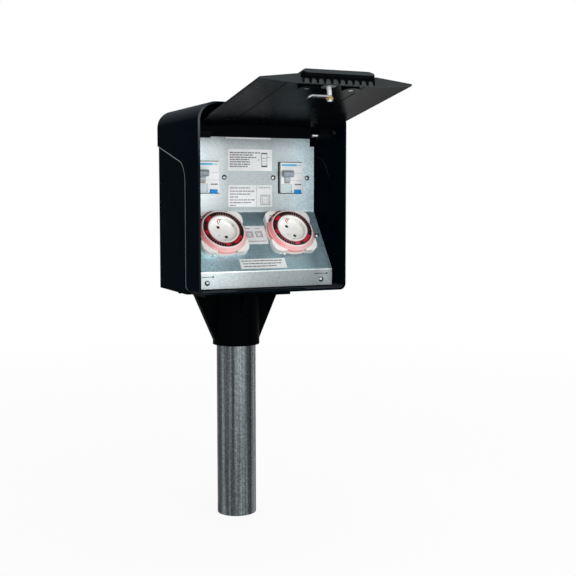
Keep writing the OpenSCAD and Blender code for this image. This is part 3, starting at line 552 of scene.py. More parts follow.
def lid_plastic(colour):
    """Glossy lid plastic whose front lip, where it faces ahead, is painted paler as painted light."""
    finish = moulded("lid_black", colour, 0.25, 0.015, 500.0, 0.00003)
    tree, skin, shade, where, facing = coat(finish)
    # Painted light on the lip where it faces ahead.
    ahead = span(tree, along(tree, facing, -LID.col[1].to_3d()), 0.0, 1.0, 0.6, 0.95)
    lip = span(tree, within(tree, where, LID, 1), 1.0, 0.0, *LIP_DEPTH)
    painted_light_share = sums(tree, "MULTIPLY", ahead, lip)
    paint(tree, skin, mixed(tree, painted_light_share, shade, LIP_PAINTED_LIGHT))
    return finish


def grip_plastic(colour):
    """Handle plastic with a painted highlight on the top bevel and painted light in the finger arches."""
    finish = painted_by_facing("grip_black", colour, 0.3, 0.005, GRIP_PAINTED_HIGHLIGHT, 0.3, 0.8)
    tree, skin, shade, where, _ = coat(finish)
    # Painted light in the finger arches.
    inward = span(tree, within(tree, where, LID, 1), 0.0, 1.0, *ARCH_DEPTH)
    under = span(tree, within(tree, where, LID, 2), 1.0, 0.0, *ARCH_RISE)
    arch_light = sums(tree, "MULTIPLY", inward, under)
    paint(tree, skin, mixed(tree, arch_light, shade, ARCH_PAINTED_LIGHT))
    return finish


def lock_plating(colour, shaft):
    """Lock plating: dull round the key; on the shaft below the lid a near-white, less metallic colour, a painted
    highlight.
    """
    finish = plated("lock_core_chrome", colour, 0.3)
    tree, skin, shade, where, _ = coat(finish)
    below = sums(tree, "LESS_THAN", within(tree, where, LID, 2), SHAFT_TOP)
    paint(tree, skin, mixed(tree, below, shade, shaft))
    tree.links.new(span(tree, below, 1.0, 0.25, 0.0, 1.0), skin.inputs["Metallic"])
    return finish


def galvanised_sheet(colour, size):
    """Zinc coat with small crystals and soft stains, and painted light by height and across the width; the slanted
    face is bluer, a painted reflection, and shinier.
    """
    finish, tree, skin, where = start_finish("galvanised_sheet", colour, 0.5, 0.25)
    x, _, z = split(tree, where)
    crystal = spangle(tree, where, size)
    stain = noise(tree, where, 30.0, 5.0)
    grain = levels(tree, crystal, [(0.0, 0.8), (0.55, 0.96), (1.0, 1.11)])
    rise = span(tree, z, 0.0, 1.0, *SHEET_RISE)
    # Painted light by height: a darker apron, bright painted highlights on both folds, a darker and bluer slant that
    # paints the reflection of the lid, and a darker upper face.
    face = tints(tree, rise, [
        (0.0, scaled(colour, 0.6)), (0.11, scaled(colour, 0.63)), (0.1135, scaled(colour, 1.6)),
        (0.1165, scaled(colour, 1.6)), (0.12, blued(colour, 0.74)), (0.3, blued(colour, 0.98)),
        (0.487, blued(colour, 0.86)), (0.49, scaled(colour, 1.25)), (0.496, scaled(colour, 1.1)),
        (0.51, scaled(colour, 0.78)), (0.7, scaled(colour, 0.86)), (1.0, scaled(colour, 0.88))])
    # Painted light across the width: paler towards both sides, on the upright face and on the slant.
    across = span(tree, x, 0.0, 1.0, *SHEET_ACROSS)
    upright_painted_light = tints(tree, across, [
        (0.0, (3.0,) * 3), (0.15, (2.05,) * 3), (0.35, (1.0,) * 3), (0.65, (0.97,) * 3),
        (0.8, (1.35, 1.42, 1.46)), (0.9, (2.0, 2.22, 2.34)), (1.0, (2.05, 2.3, 2.45))])
    sloped_painted_light = levels(tree, across, [
        (0.0, 2.8), (0.2, 2.0), (0.4, 1.2), (0.6, 0.92), (0.8, 0.85), (0.88, 0.78), (0.95, 1.5), (1.0, 1.8)])
    above = sums(tree, "GREATER_THAN", z, HOOD_FLOOR + FOLD_HEIGHT)
    face = times(tree, face, mixed(tree, above, sloped_painted_light, upright_painted_light))
    shade = times(tree, face, grain)
    paint(tree, skin, mixed(tree, span(tree, stain, 0.0, 0.22), shade, blued(colour, 0.6)))
    metal = levels(tree, rise, [(0.0, 0.3), (0.107, 0.3), (0.116, 0.8), (0.485, 0.8), (0.493, 0.3)])
    tree.links.new(metal, skin.inputs["Metallic"])
    roughen(tree, skin, crystal, 0.36, 0.54, 0.0, 1.0)
    relief(tree, skin, noise(tree, where, 700.0, 3.0), 0.1, 0.00005)
    return finish


def galvanised_tube(colour, size):
    """Zinc coated tube with long drawing streaks, a weld seam, small crystals and bands of painted reflection round
    it.
    """
    finish, tree, skin, where = start_finish("galvanised_tube", colour, 0.4, 1.0)
    x, y, _ = split(tree, where)
    painted_reflections = tints(tree, turn_of(tree, y, x), [(place, scaled(colour, by)) for place, by in TUBE_PAINTED_REFLECTIONS])
    streak = noise(tree, where, 300.0, 4.0, (1.0, 1.0, 0.012))
    lines = levels(tree, streak, [(0.34, 0.55), (0.5, 1.0), (0.66, 1.5)])
    flecks = levels(tree, spangle(tree, where, size), [(0.0, 0.66), (0.6, 1.0), (1.0, 1.45)])
    paint(tree, skin, times(tree, times(tree, painted_reflections, lines), flecks))
    roughen(tree, skin, noise(tree, where, 90.0, 4.0), 0.34, 0.5)
    relief(tree, skin, noise(tree, where, 500.0, 3.0, (1.0, 1.0, 0.1)), 0.15, 0.00006)
    return finish


def about_timer(tree, where):
    """Place across and up from the middle of each timer, and the turn about it from 0 to 1."""
    across, _, _ = split(tree, where)
    middle = sums(tree, "MULTIPLY", sums(tree, "SIGN", across, 0.0), TIMER_X * MM)
    x = sums(tree, "SUBTRACT", across, middle)
    y = sums(tree, "ADD", within(tree, where, SLANT, 1), TIMER_DOWN * MM)
    return x, y, turn_of(tree, y, x)


def dial_plastic(colour, flag):
    """Dial ring: pale between the tappets at the top, a painted light, and red at the left and lower right."""
    finish = moulded("dial_ring", colour, 0.4, 0.4)
    tree, skin, shade, where, _ = coat(finish)
    _, _, turn = about_timer(tree, where)
    # Share of red by bearing; where it stays pale, at the top, the ring is painted light.
    red = levels(tree, turn, [
        (0.0, 0.0), (0.29, 0.0), (0.35, 1.0), (0.55, 1.0), (0.66, 0.3), (0.78, 0.6), (0.9, 1.0), (0.96, 0.2)])
    paint(tree, skin, mixed(tree, red, shade, flag))
    return finish


def clear_rim(colour):
    """Tinted see-through plastic, pink in the wall and streaked on the bevel, with painted light: paler or pinker by
    bearing about the timer, and painted highlight lines at the top edges.
    """
    finish, tree, skin, where = start_finish("timer_rim_clear", colour, 0.1)
    skin.inputs["Transmission Weight"].default_value = 0.15
    skin.inputs["IOR"].default_value = 1.2
    x, y, turn = about_timer(tree, where)
    rise = within(tree, where, SLANT, 2)
    # Share of the painted pale by bearing about the timer: painted light through the rim.
    share = levels(tree, turn, [
        (0.0, 0.55), (0.2, 0.5), (0.38, 0.15), (0.5, 0.0), (0.62, 0.15), (0.74, 0.8), (0.9, 0.7),
        (1.0, 0.55)])
    lie = tree.nodes.new("ShaderNodeCombineXYZ")
    for socket, value, by in (("X", x, 45.0), ("Y", y, 45.0), ("Z", rise, 700.0)):
        tree.links.new(sums(tree, "MULTIPLY", value, by), lie.inputs[socket])
    flow = span(tree, noise(tree, lie.outputs["Vector"], 1.0, 4.0), -0.6, 0.6)
    around = mixed(tree, sums(tree, "ADD", share, flow), RIM_PINK, RIM_PAINTED_PALE)
    level = span(tree, rise, 0.0, 1.0, *RIM_RISE)
    bevel = levels(tree, level, [(0.0, 0.0), (0.5, 0.0), (0.56, 1.0), (1.0, 1.0)])
    # Thin painted highlight lines at the top edges of the rim.
    edges = levels(tree, level, [
        (0.0, 0.0), (0.51, 0.0), (0.54, 0.7), (0.58, 0.0), (0.88, 0.0), (0.94, 0.8)])
    wall = mixed(tree, sums(tree, "MULTIPLY", share, 0.7), RIM_PINK, RIM_FOOT_PAINTED_PALE)
    paint(tree, skin, mixed(tree, edges, mixed(tree, bevel, wall, around), colour))
    roughen(tree, skin, noise(tree, where, 160.0, 3.0), 0.06, 0.18)
    return finish


def breaker_plastic(colour):
    """Pale breaker plastic, painted dark behind the nose as painted shade in the gap round it."""
    finish = moulded("breaker_white", colour, 0.34, 0.5)
    tree, skin, shade, where, _ = coat(finish)
    front = span(tree, along(tree, where, AHEAD, FRONT.translation), 0.0, 1.0, *NOSE_START)
    paint(tree, skin, mixed(tree, front, BREAKER_GAP_SHADE, shade))
    return finish


def two_tone_toggle(grip, drum):
    """Grey bar on a paler stem; the drum's lower half takes a darkened copy of the breaker white, a painted shade."""
    finish, tree, skin, where = start_finish("breaker_toggle", grip, 0.4, 0.0, 0.4)
    centre = FRONT @ (TOGGLE_AXIS * MM)
    out = along(tree, where, AHEAD, centre)
    up = along(tree, where, UP, centre)
    squares = sums(tree, "ADD", sums(tree, "POWER", out, 2.0), sums(tree, "POWER", up, 2.0))
    away = sums(tree, "SQRT", squares, 0.0)
    cloud = noise(tree, where, 300.0, 3.0)
    grey = mottled(tree, cloud, grip, 0.85, 1.15)
    # Below the drum's middle: the darkened breaker white, painted shade.
    low = mixed(tree, sums(tree, "GREATER_THAN", up, DRUM_MIDDLE), drum, scaled(grip, 1.45))
    paint(tree, skin, mixed(tree, sums(tree, "GREATER_THAN", away, TOGGLE_STEM), low, grey))
    roughen(tree, skin, cloud, 0.35, 0.46)
    relief(tree, skin, noise(tree, where, 1200.0, 2.0), 0.2, 0.00004)
    return finish


# Settings.

def colour_prop(label, text, value):
    """Colour of a finish."""
    return FloatVectorProperty(
        name=label, description=text, subtype="COLOR", size=3, min=0.0, max=1.0, default=value)


def length_prop(label, text, value):
    """Length in metres."""
    return FloatProperty(name=label, description=text, default=value, unit="LENGTH")


class SocketPostColours(bpy.types.PropertyGroup):
    """Colours of the finishes."""

    tube: colour_prop("Tube Zinc", "Zinc of the post tube", (0.112, 0.13, 0.136))
    sheet: colour_prop("Sheet Zinc", "Zinc of the folded panel", (0.45, 0.5, 0.508))
    hood: colour_prop("Hood Black", "Plastic of hood and rear casing", (0.0006, 0.0029, 0.0055))
    collar: colour_prop("Collar Black", "Plastic of the collar", (0.0006, 0.0009, 0.0012))
    # Grey of the beads along the step line: a painted highlight.
    step_highlight: colour_prop("Bead Grey", "Bead along the step of the hood", (0.075, 0.08, 0.084))
    lid: colour_prop("Lid Black", "Glossy plastic of the lid", (0.0015, 0.0022, 0.0028))
    grip: colour_prop("Grip Black", "Plastic of the lid handle", (0.002, 0.0024, 0.0028))
    chrome: colour_prop("Lock Chrome", "Plating of the lock", (0.3, 0.31, 0.325))
    zinc: colour_prop("Fastener Zinc", "Plating of screws, pins and cam", (0.5, 0.52, 0.54))
    brass: colour_prop("Brass", "Brass of the cam nut and contact sleeves", (0.55, 0.36, 0.11))
    white: colour_prop("Timer White", "Plastic of timers and sockets", (0.92, 0.915, 0.885))
    breaker: colour_prop("Breaker White", "Plastic of the breakers", (0.74, 0.76, 0.77))
    # Colour of the painted highlight lines at the top edges of the clear rims.
    rim: colour_prop("Rim Tint", "Pale top edge of the clear timer rims", (0.97, 0.92, 0.91))
    dial: colour_prop("Dial Ring", "Ring between the tappets", (0.5, 0.24, 0.23))
    tappet: colour_prop("Tappet Black", "Plastic of the tappets", (0.008, 0.006, 0.006))
    flag: colour_prop("Tappet Red", "Red of the tappets that are set", (0.6, 0.012, 0.03))
    paper: colour_prop("Label White", "Paper of the labels", (0.72, 0.74, 0.75))
    ink: colour_prop("Label Grey", "Lines on labels and breakers", (0.085, 0.085, 0.09))
    window: colour_prop("Window Tint", "Tinted plates of the breakers", (0.5, 0.61, 0.625))
    strip: colour_prop("Strip Blue", "Stripe on the breakers", (0.03, 0.36, 0.58))
    button: colour_prop("Button Blue", "Test buttons", (0.002, 0.25, 0.7))
    toggle: colour_prop("Toggle Grey", "Bar of the breaker toggles", (0.3, 0.35, 0.39))
    rubber: colour_prop("Grommet Black", "Rubber of the cable grommet", (0.012, 0.012, 0.012))
    block: colour_prop("Terminal Grey", "Plastic of the terminal blocks", (0.42, 0.43, 0.42))


class SocketPostSizes(bpy.types.PropertyGroup):
    """Sizes of the fine pieces."""

    edge: length_prop("Moulded Edge", "Round on moulded edges", 0.0007)
    fine_edge: length_prop("Fine Edge", "Round on small pieces", 0.0003)
    crystal: length_prop("Zinc Crystal", "Size of the zinc crystals", 0.0016)
    tappets: IntProperty(name="Tappets", description="Tappets on each dial", default=48, min=12)
    tappet_top: length_prop("Tappet Top", "Top of the tappets over the panel", 0.0154)
    print_rise: length_prop("Line Rise", "Thickness of printed lines", 0.00006)


class SocketPostStage(bpy.types.PropertyGroup):
    """Camera, floor and light."""

    eye: FloatVectorProperty(name="Camera Place", description="Place of the camera", subtype="TRANSLATION",
                             default=(-0.56286, -1.43982, 0.49177))
    aim: FloatVectorProperty(name="Camera Turn", description="Turn of the camera", subtype="EULER",
                             default=(math.radians(84.78), 0.0, math.radians(-24.33)))
    lens: FloatProperty(name="Lens", description="Focal length", default=62.89, unit="CAMERA")
    floor: colour_prop("Floor", "Pale floor", (0.86, 0.86, 0.86))
    sky: FloatProperty(name="Room Light", description="Even light from all sides", default=0.45)
    key: FloatProperty(name="Key Lamp", description="Power of the front lamp", default=68.0, unit="POWER")
    top: FloatProperty(name="Top Lamp", description="Power of the lamp overhead", default=40.0, unit="POWER")


def settings(context):
    """Colours and sizes of the scene."""
    return context.scene.socket_post_colours, context.scene.socket_post_sizes


# Steps.

class SOCKETPOST_OT_stage(bpy.types.Operator):
    """Camera, pale floor, white surroundings and soft lamps"""

    bl_idname = "socketpost.stage"
    bl_label = "Stage"
    SENSOR = 36.0
    CLIP = (0.01, 60.0)
    FLOOR_HALF = 9000.0
    FLOOR_DEPTH = 20.0
    SHADOW_FADE = (0.5, 2.0)
    KEY_PLACE = (-0.3, -3.2, 0.75)
    KEY_SIZE = (3.6, 1.5)
    TOP_PLACE = (0.2, -0.8, 2.8)
    TOP_SIZE = (2.0, 2.0)
    LIT_PLACE = (0.0, -0.06, 0.48)
    WHITE = (1.0, 1.0, 1.0)

    def execute(self, context):
        look = context.scene.socket_post_stage
        scene = context.scene
        scene.view_settings.view_transform = "Standard"
        lens = bpy.data.cameras.new("photo_camera")
        lens.lens = look.lens
        lens.sensor_width = self.SENSOR
        lens.clip_start, lens.clip_end = self.CLIP
        camera = bpy.data.objects.new("photo_camera", lens)
        camera.location = look.eye
        camera.rotation_euler = look.aim
        scene.collection.objects.link(camera)
        scene.camera = camera
        self.room(scene, look)
        self.floor(scene, look)
        self.lamp(scene, "key_lamp", self.KEY_PLACE, self.KEY_SIZE, look.key)
        self.lamp(scene, "top_lamp", self.TOP_PLACE, self.TOP_SIZE, look.top)
        return {"FINISHED"}

    def seen(self, tree):
        """One for rays that show the surroundings: straight, through clear plastic or in gloss."""
        path = tree.nodes.new("ShaderNodeLightPath")
        shown = sums(tree, "MAXIMUM", path.outputs["Is Camera Ray"], path.outputs["Is Transmission Ray"])
        return sums(tree, "MAXIMUM", shown, path.outputs["Is Glossy Ray"])

    def room(self, scene, look):
        """White surroundings that light the object at a plain level."""
        world = bpy.data.worlds.new("studio")
        world.use_nodes = True
        scene.world = world
        tree = world.node_tree
        tree.nodes.clear()
        out = tree.nodes.new("ShaderNodeOutputWorld")
        level = span(tree, self.seen(tree), look.sky, 1.0, 0.0, 1.0)
        back = make(tree, "ShaderNodeBackground", {"Color": self.WHITE, "Strength": level})
        tree.links.new(back.outputs["Background"], out.inputs["Surface"])

    def floor(self, scene, look):
        """Pale floor that keeps a soft shadow."""
        wide = spread(0.0, self.FLOOR_HALF)
        bm = bmesh.new()
        slab(bm, wide, wide, (-self.FLOOR_DEPTH, 0.0))
        mesh = bpy.data.meshes.new("floor")
        bm.to_mesh(mesh)
        bm.free()
        ground = bpy.data.objects.new("floor", mesh)
        scene.collection.objects.link(ground)
        finish, tree, skin, where = start_finish("floor_pale", look.floor, 0.7, 0.0, 0.2)
        paint(tree, skin, mottled(tree, noise(tree, where, 1.2, 3.0), look.floor, 0.985, 1.0))
        glow = make(tree, "ShaderNodeEmission", {"Color": self.WHITE})
        away = make(tree, "ShaderNodeVectorMath", {0: where}, operation="LENGTH")
        fade = span(tree, away.outputs["Value"], 0.9, 1.0, *self.SHADOW_FADE)
        share = sums(tree, "MULTIPLY", self.seen(tree), fade)
        join = make(tree, "ShaderNodeMixShader", {
            "Fac": share, 1: skin.outputs["BSDF"], 2: glow.outputs["Emission"]})
        out = next(n for n in tree.nodes if n.type == "OUTPUT_MATERIAL")
        tree.links.new(join.outputs["Shader"], out.inputs["Surface"])
        mesh.materials.append(finish)
        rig.stage(ground)

    def lamp(self, scene, name, place, size, power):
        """Large soft lamp turned towards the hood."""
        data = bpy.data.lights.new(name, "AREA")
        data.shape = "RECTANGLE"
        data.size, data.size_y = size
        data.energy = power
        lamp = bpy.data.objects.new(name, data)
        lamp.location = place
        lamp.rotation_mode = "QUATERNION"
        lamp.rotation_quaternion = (Vector(self.LIT_PLACE) - Vector(place)).to_track_quat("-Z", "Y")
        scene.collection.objects.link(lamp)


class SOCKETPOST_OT_post(bpy.types.Operator):
    """Steel tube with its zinc coat"""

    bl_idname = "socketpost.post"
    bl_label = "Post Tube"

    def execute(self, context):
        tone, size = settings(context)
        dress(galvanised_tube(tone.tube, size.crystal), "post_tube")
        return {"FINISHED"}


class SOCKETPOST_OT_hood(bpy.types.Operator):
    """Black hood, rear casing and collar, with grey beads along the step line that paint its highlight, and two foot
    screws
    """

    bl_idname = "socketpost.hood"
    bl_label = "Hood and Collar"
    ROUNDER = 1.6
    BEAD = (0.1, 1.5)
    BEAD_RISE = 0.3
    BEAD_EDGE = 0.0002
    BACK_BEAD_HALF = 110.6
    CORNER_STEPS = 12
    FOOT_SCREW = ((3.1, -3.9), (3.1, -4.8), (2.5, -5.6), (1.2, -6.0))
    FOOT_SCREW_X = 106.8
    FOOT_SCREW_Y = 98.0

    def execute(self, context):
        tone, size = settings(context)
        black = hood_plastic(tone.hood)
        dress(black, "hood", "rear_casing")
        # The collar's back is painted paler, a painted sheen.
        dress(painted_by_facing("collar_black", tone.collar, 0.45, 0.004, BACK_PAINTED_SHEEN, 0.1, 0.9, BEHIND), "collar")
        soften(size.edge * self.ROUNDER, "hood")
        soften(size.edge, "rear_casing", "collar")
        # The beads' grey is a painted highlight along the step line of the hood.
        step_highlight = moulded("step_highlight_grey", tone.step_highlight, 0.35, 0.3)
        for side, sign in SIDES.items():
            self.side_pieces(side, sign, step_highlight, black)
        (_, step_back), _ = self.step_path()[-1]
        bm = bmesh.new()
        slab(bm, spread(0.0, self.BACK_BEAD_HALF), spread(HOOD_DEPTH, self.BEAD_RISE),
             [step_back + edge for edge in self.BEAD])
        piece("hood_back_bead", bm, HOOD, "post", "black_moulding", [step_highlight], self.BEAD_EDGE)
        return {"FINISHED"}

    def side_pieces(self, side, sign, step_highlight, black):
        """Bead along one side, its turn round the bottom corner, and the screw under the casing."""
        bm = bmesh.new()
        wall = [sign * x for x in spread(HOOD_HALF, self.BEAD_RISE)]
        ribbon(bm, self.step_path(), wall, *self.BEAD)
        piece(f"hood_{side}_bead", bm, HOOD, "post", "black_moulding", [step_highlight], self.BEAD_EDGE)
        bm = bmesh.new()
        section = oblong(spread(FOOT_R, self.BEAD_RISE), [edge - STEP_Y for edge in self.BEAD])
        arc_block(bm, section, 90.0 - 90.0 * sign, -90.0 if sign > 0.0 else 270.0, 8)
        corner = HOOD @ shift(sign * (HOOD_HALF - FOOT_R) * MM, 0.0, FOOT_R * MM) @ tilt(90.0)
        piece(f"hood_{side}_bead_foot", bm, corner, "post", "black_moulding", [step_highlight], self.BEAD_EDGE)
        bm = bmesh.new()
        turned(bm, self.FOOT_SCREW, (sign * self.FOOT_SCREW_X, self.FOOT_SCREW_Y))
        piece(f"casing_{side}_foot_screw", bm, HOOD, "post", "black_moulding", [black], self.BEAD_EDGE)

    def step_path(self):
        """Side view of the step line as (place, normal) pairs, from the sill to the back."""
        path = [((STEP_Y, low), (-1.0, 0.0)) for low in (FOOT_R, STEP_Z)]
        for i in range(1, self.CORNER_STEPS + 1):
            a = math.radians(180.0 - (90.0 - STEP_RISE) * i / self.CORNER_STEPS)
            way = (math.cos(a), math.sin(a))
            path.append(((STEP_Y + STEP_R + STEP_R * way[0], STEP_Z + STEP_R * way[1]), way))
        (y, z), way = path[-1]
        back = STEP_END - y
        path.append(((y + back, z + back * math.tan(math.radians(STEP_RISE))), way))
        return path


class SOCKETPOST_OT_lid(bpy.types.Operator):
    """Lid with its creases, handle and lock"""

    bl_idname = "socketpost.lid"
    bl_label = "Lid and Lock"
    ROUNDER = 1.6
    SHAFT_PAINTED_HIGHLIGHT = (0.86, 0.87, 0.88)
    CAM_SCREW = (0.62, 0.66, 0.7)
    CREASE = ((-0.45, 0.45), (-228.0, -3.0), (-0.5, 0.3))
    CREASE_X = 54.0
    CREASE_HEIGHT = 0.0121
    CREASE_TAPER = -0.617
    CREASE_EDGE = 0.0002

    def execute(self, context):
        tone, size = settings(context)
        black = lid_plastic(tone.lid)
        dress(black, "lid", "lock_nut")
        dress(grip_plastic(tone.grip), "lid_handle")
        soften(size.edge, "lid")
        soften(size.edge * self.ROUNDER, "lid_handle", segments=3)
        dress(plated("lock_chrome", tone.chrome, 0.3), "lock_body")
        dress(lock_plating(tone.chrome, self.SHAFT_PAINTED_HIGHLIGHT), "lock_core")
        dress(plated("cam_zinc", tone.zinc, 0.24), "lock_cam", "hinge_pins", "handle_screws")
        dress(plated("cam_screw_zinc", self.CAM_SCREW, 0.4), "cam_screw")
        dress(plated("brass", tone.brass, 0.26), "cam_nut", "contact_sleeves")
        soften(size.fine_edge, "lock_cam", "cam_nut", "cam_screw", "lock_body", "lock_core", "hinge_pins")
        for side, sign in SIDES.items():
            bm = bmesh.new()
            slab(bm, *self.CREASE)
            place = LID @ shift(sign * self.CREASE_X * MM, 0.0, self.CREASE_HEIGHT) @ tilt(self.CREASE_TAPER)
            piece(f"lid_{side}_crease", bm, place, "lid", "black_moulding", [black], self.CREASE_EDGE)
        return {"FINISHED"}


class SOCKETPOST_OT_panel(bpy.types.Operator):
    """Folded zinc panel with its top strip, and the zinc fasteners"""

    bl_idname = "socketpost.panel"
    bl_label = "Panel"
    SCREW_SHADE = 0.78
    STRIP = ((-36.0, 35.0), (218.4, 220.9), (-0.4, 0.35))
    STRIP_WHITE = (0.93, 0.93, 0.93)
    STRIP_EDGE = 0.0001

    def execute(self, context):
        tone, size = settings(context)
        sheet = galvanised_sheet(tone.sheet, size.crystal)
        dress(sheet, "instrument_panel", "panel_brackets", "din_rail")
        zinc = plated("screw_zinc", scaled(tone.zinc, self.SCREW_SHADE), 0.28)
        dress(zinc, "panel_screws", "apron_screws", "casing_screws", "hood_screws", "rail_standoffs",
              "collar_bolts", "collar_nuts", "collar_set_screws")
        soften(size.fine_edge, "panel_screws", "apron_screws")
        white = moulded("strip_white", self.STRIP_WHITE, 0.4, 0.5)
        bm = bmesh.new()
        slab(bm, *self.STRIP)
        piece("panel_top_strip", bm, FRONT, "post", "label_white", [white], self.STRIP_EDGE)
        return {"FINISHED"}


class SOCKETPOST_OT_labels(bpy.types.Operator):
    """Label plates with plain ruled lines"""

    bl_idname = "socketpost.labels"
    bl_label = "Labels"
    PLATE_TOP = 0.4
    SUNK = 0.39
    ROW_LEFT = -30.3
    UPPER_ROW = 198.2
    UPPER_PITCH = 3.35
    UPPER_ENDS = (17.9, 6.1, 11.5, 0.7, 1.6, 1.6, -1.2)
    UPPER_BARS = ((197.2, 1.4), (190.5, 0.6), (186.3, 0.5), (182.4, 0.5), (178.9, 2.0))
    MIDDLE_ROWS = (
        (146.7, 1.2), (142.0, 8.3), (137.7, 1.6), (133.4, -17.5), (129.1, 9.2), (125.1, 3.7), (121.0, -19.5))
    SLANT_ROW = -86.9
    SLANT_PITCH = 4.6
    SLANT_ENDS = ((-33.4, 30.5), (-31.6, 28.4), (-31.6, 20.0))
    DOT = 0.6

    def execute(self, context):
        tone, size = settings(context)
        dress(moulded("label_white", tone.paper, 0.36, 0.5, 400.0, 0.00002), "label_plates")
        ink = moulded("label_ink", tone.ink, 0.5, 0.3)
        z = (self.SUNK, self.PLATE_TOP + size.print_rise / MM)
        bm = bmesh.new()
        self.upper(bm, z)
        self.middle(bm, z)
        piece("label_lines_upper", bm, FRONT, "post", "label_white", [ink])
        bm = bmesh.new()
        self.slant(bm, z)
        piece("label_lines_slant", bm, SLANT, "post", "label_white", [ink])
        return {"FINISHED"}

    def upper(self, bm, z):
        """Seven rows and a plain box with bars beside them."""
        for i, end in enumerate(self.UPPER_ENDS):
            ruled_row(bm, (self.ROW_LEFT, end), self.UPPER_ROW - self.UPPER_PITCH * i, 1.5, z, i)
        frame_lines(bm, (19.7, 29.2), (177.5, 198.5), z, 0.65)
        for y, high in self.UPPER_BARS:
            slab(bm, (20.2, 28.7), spread(y, high / 2), z)
        slab(bm, (29.2, 34.4), (191.3, 191.9), z)
        slab(bm, (13.6, 16.6), (187.5, 188.3), z)

    def middle(self, bm, z):
        """Seven rows, a divider, a short row and two plain boxes, one in the other."""
        for i, (y, end) in enumerate(self.MIDDLE_ROWS):
            ruled_row(bm, (self.ROW_LEFT, end), y, 1.3, z, 20 + i)
        slab(bm, (12.0, 12.4), (119.6, 150.2), z)
        ruled_row(bm, (15.7, 35.4), 147.0, 1.1, z, 31)
        frame_lines(bm, (18.3, 33.7), (121.7, 136.5), z, 0.8)
        frame_lines(bm, (20.9, 31.1), (124.2, 134.0), z, 0.5)
        for x in (24.3, 28.3):
            slab(bm, spread(x, self.DOT), spread(129.1, self.DOT), z)

    def slant(self, bm, z):
        """Two plain boxes between the timers and three rows below them."""
        for x in (-9.3, 5.6):
            frame_lines(bm, spread(x, 5.2), (-46.0, -36.0), z, 0.9)
            frame_lines(bm, spread(x, 3.4), (-44.2, -37.8), z, 0.5)
            for dx in (-1.7, 1.7):
                slab(bm, spread(x + dx, self.DOT), spread(-41.1, self.DOT), z)
            ruled_row(bm, (x - 4.0, x + 4.4), -30.5, 0.8, z, 40 + int(x))
        slab(bm, (-14.5, 14.6), (-53.4, -52.6), z)
        for i, ends in enumerate(self.SLANT_ENDS):
            ruled_row(bm, ends, self.SLANT_ROW - self.SLANT_PITCH * i, 1.4, z, 50 + i)


class SOCKETPOST_OT_breakers(bpy.types.Operator):
    """Breakers with stripes, seams, toggles, plates and buttons"""

    bl_idname = "socketpost.breakers"
    bl_label = "Breakers"
    ROUNDER = 1.4
    # Darkening of the breaker white on the toggle drum: a painted shade.
    DRUM_SHADE = 0.56
    NOSE = 6.0
    SUNK = 5.95
    STRIPE, PALE, SEAM, INK, FAINT = range(5)
    PRINT = (
        ((-16.5, 7.7), (179.4, 182.2), STRIPE), ((7.7, 16.0), (179.6, 182.0), PALE),
        ((-17.9, 17.9), (177.3, 177.5), FAINT), ((5.7, 17.9), (168.6, 169.0), SEAM),
        ((-2.0, 17.9), (157.9, 158.3), SEAM), ((-17.2, 0.1), (152.1, 152.6), SEAM),
        ((-0.4, 0.1), (140.3, 152.1), SEAM), ((-17.0, -1.6), (141.5, 141.8), FAINT),
        ((-1.6, -0.4), (141.2, 142.6), INK), ((4.8, 9.6), (151.1, 152.8), INK),
        ((10.1, 15.4), (151.1, 152.8), INK))

    def execute(self, context):
        tone, size = settings(context)
        cases = [f"breaker_{side}_case" for side in SIDES]
        toggles = [f"breaker_{side}_toggle" for side in SIDES]
        buttons = [f"breaker_{side}_button" for side in SIDES]
        dress(breaker_plastic(tone.breaker), *cases)
        dress(moulded("window_tint", tone.window, 0.2, 0.5, 300.0, 0.00002), "breaker_windows")
        dress(two_tone_toggle(tone.toggle, scaled(tone.breaker, self.DRUM_SHADE)), *toggles)
        dress(moulded("button_blue", tone.button, 0.32, 0.12), *buttons)
        soften(size.fine_edge * self.ROUNDER, *buttons, *toggles)
        soften(size.fine_edge, *cases, merge=False)
        print_tones = [
            moulded("strip_blue", tone.strip, 0.35, 0.5),
            moulded("strip_pale", (0.4, 0.56, 0.63), 0.35, 0.5),
            moulded("seam_grey", (0.3, 0.32, 0.33), 0.5, 0.3),
            moulded("breaker_ink", (0.1, 0.085, 0.06), 0.5, 0.3),
            moulded("seam_faint", (0.5, 0.52, 0.53), 0.5, 0.3)]
        z = (self.SUNK, self.NOSE + size.print_rise / MM)
        for side, sign in SIDES.items():
            place = FRONT @ shift(sign * BREAKER_X * MM, 0.0, 0.0)
            bm = bmesh.new()
            for x, y, tint in self.PRINT:
                slab(bm, x, y, z, tint)
            piece(f"breaker_{side}_print", bm, place, "post", "breaker_white", print_tones)
        return {"FINISHED"}


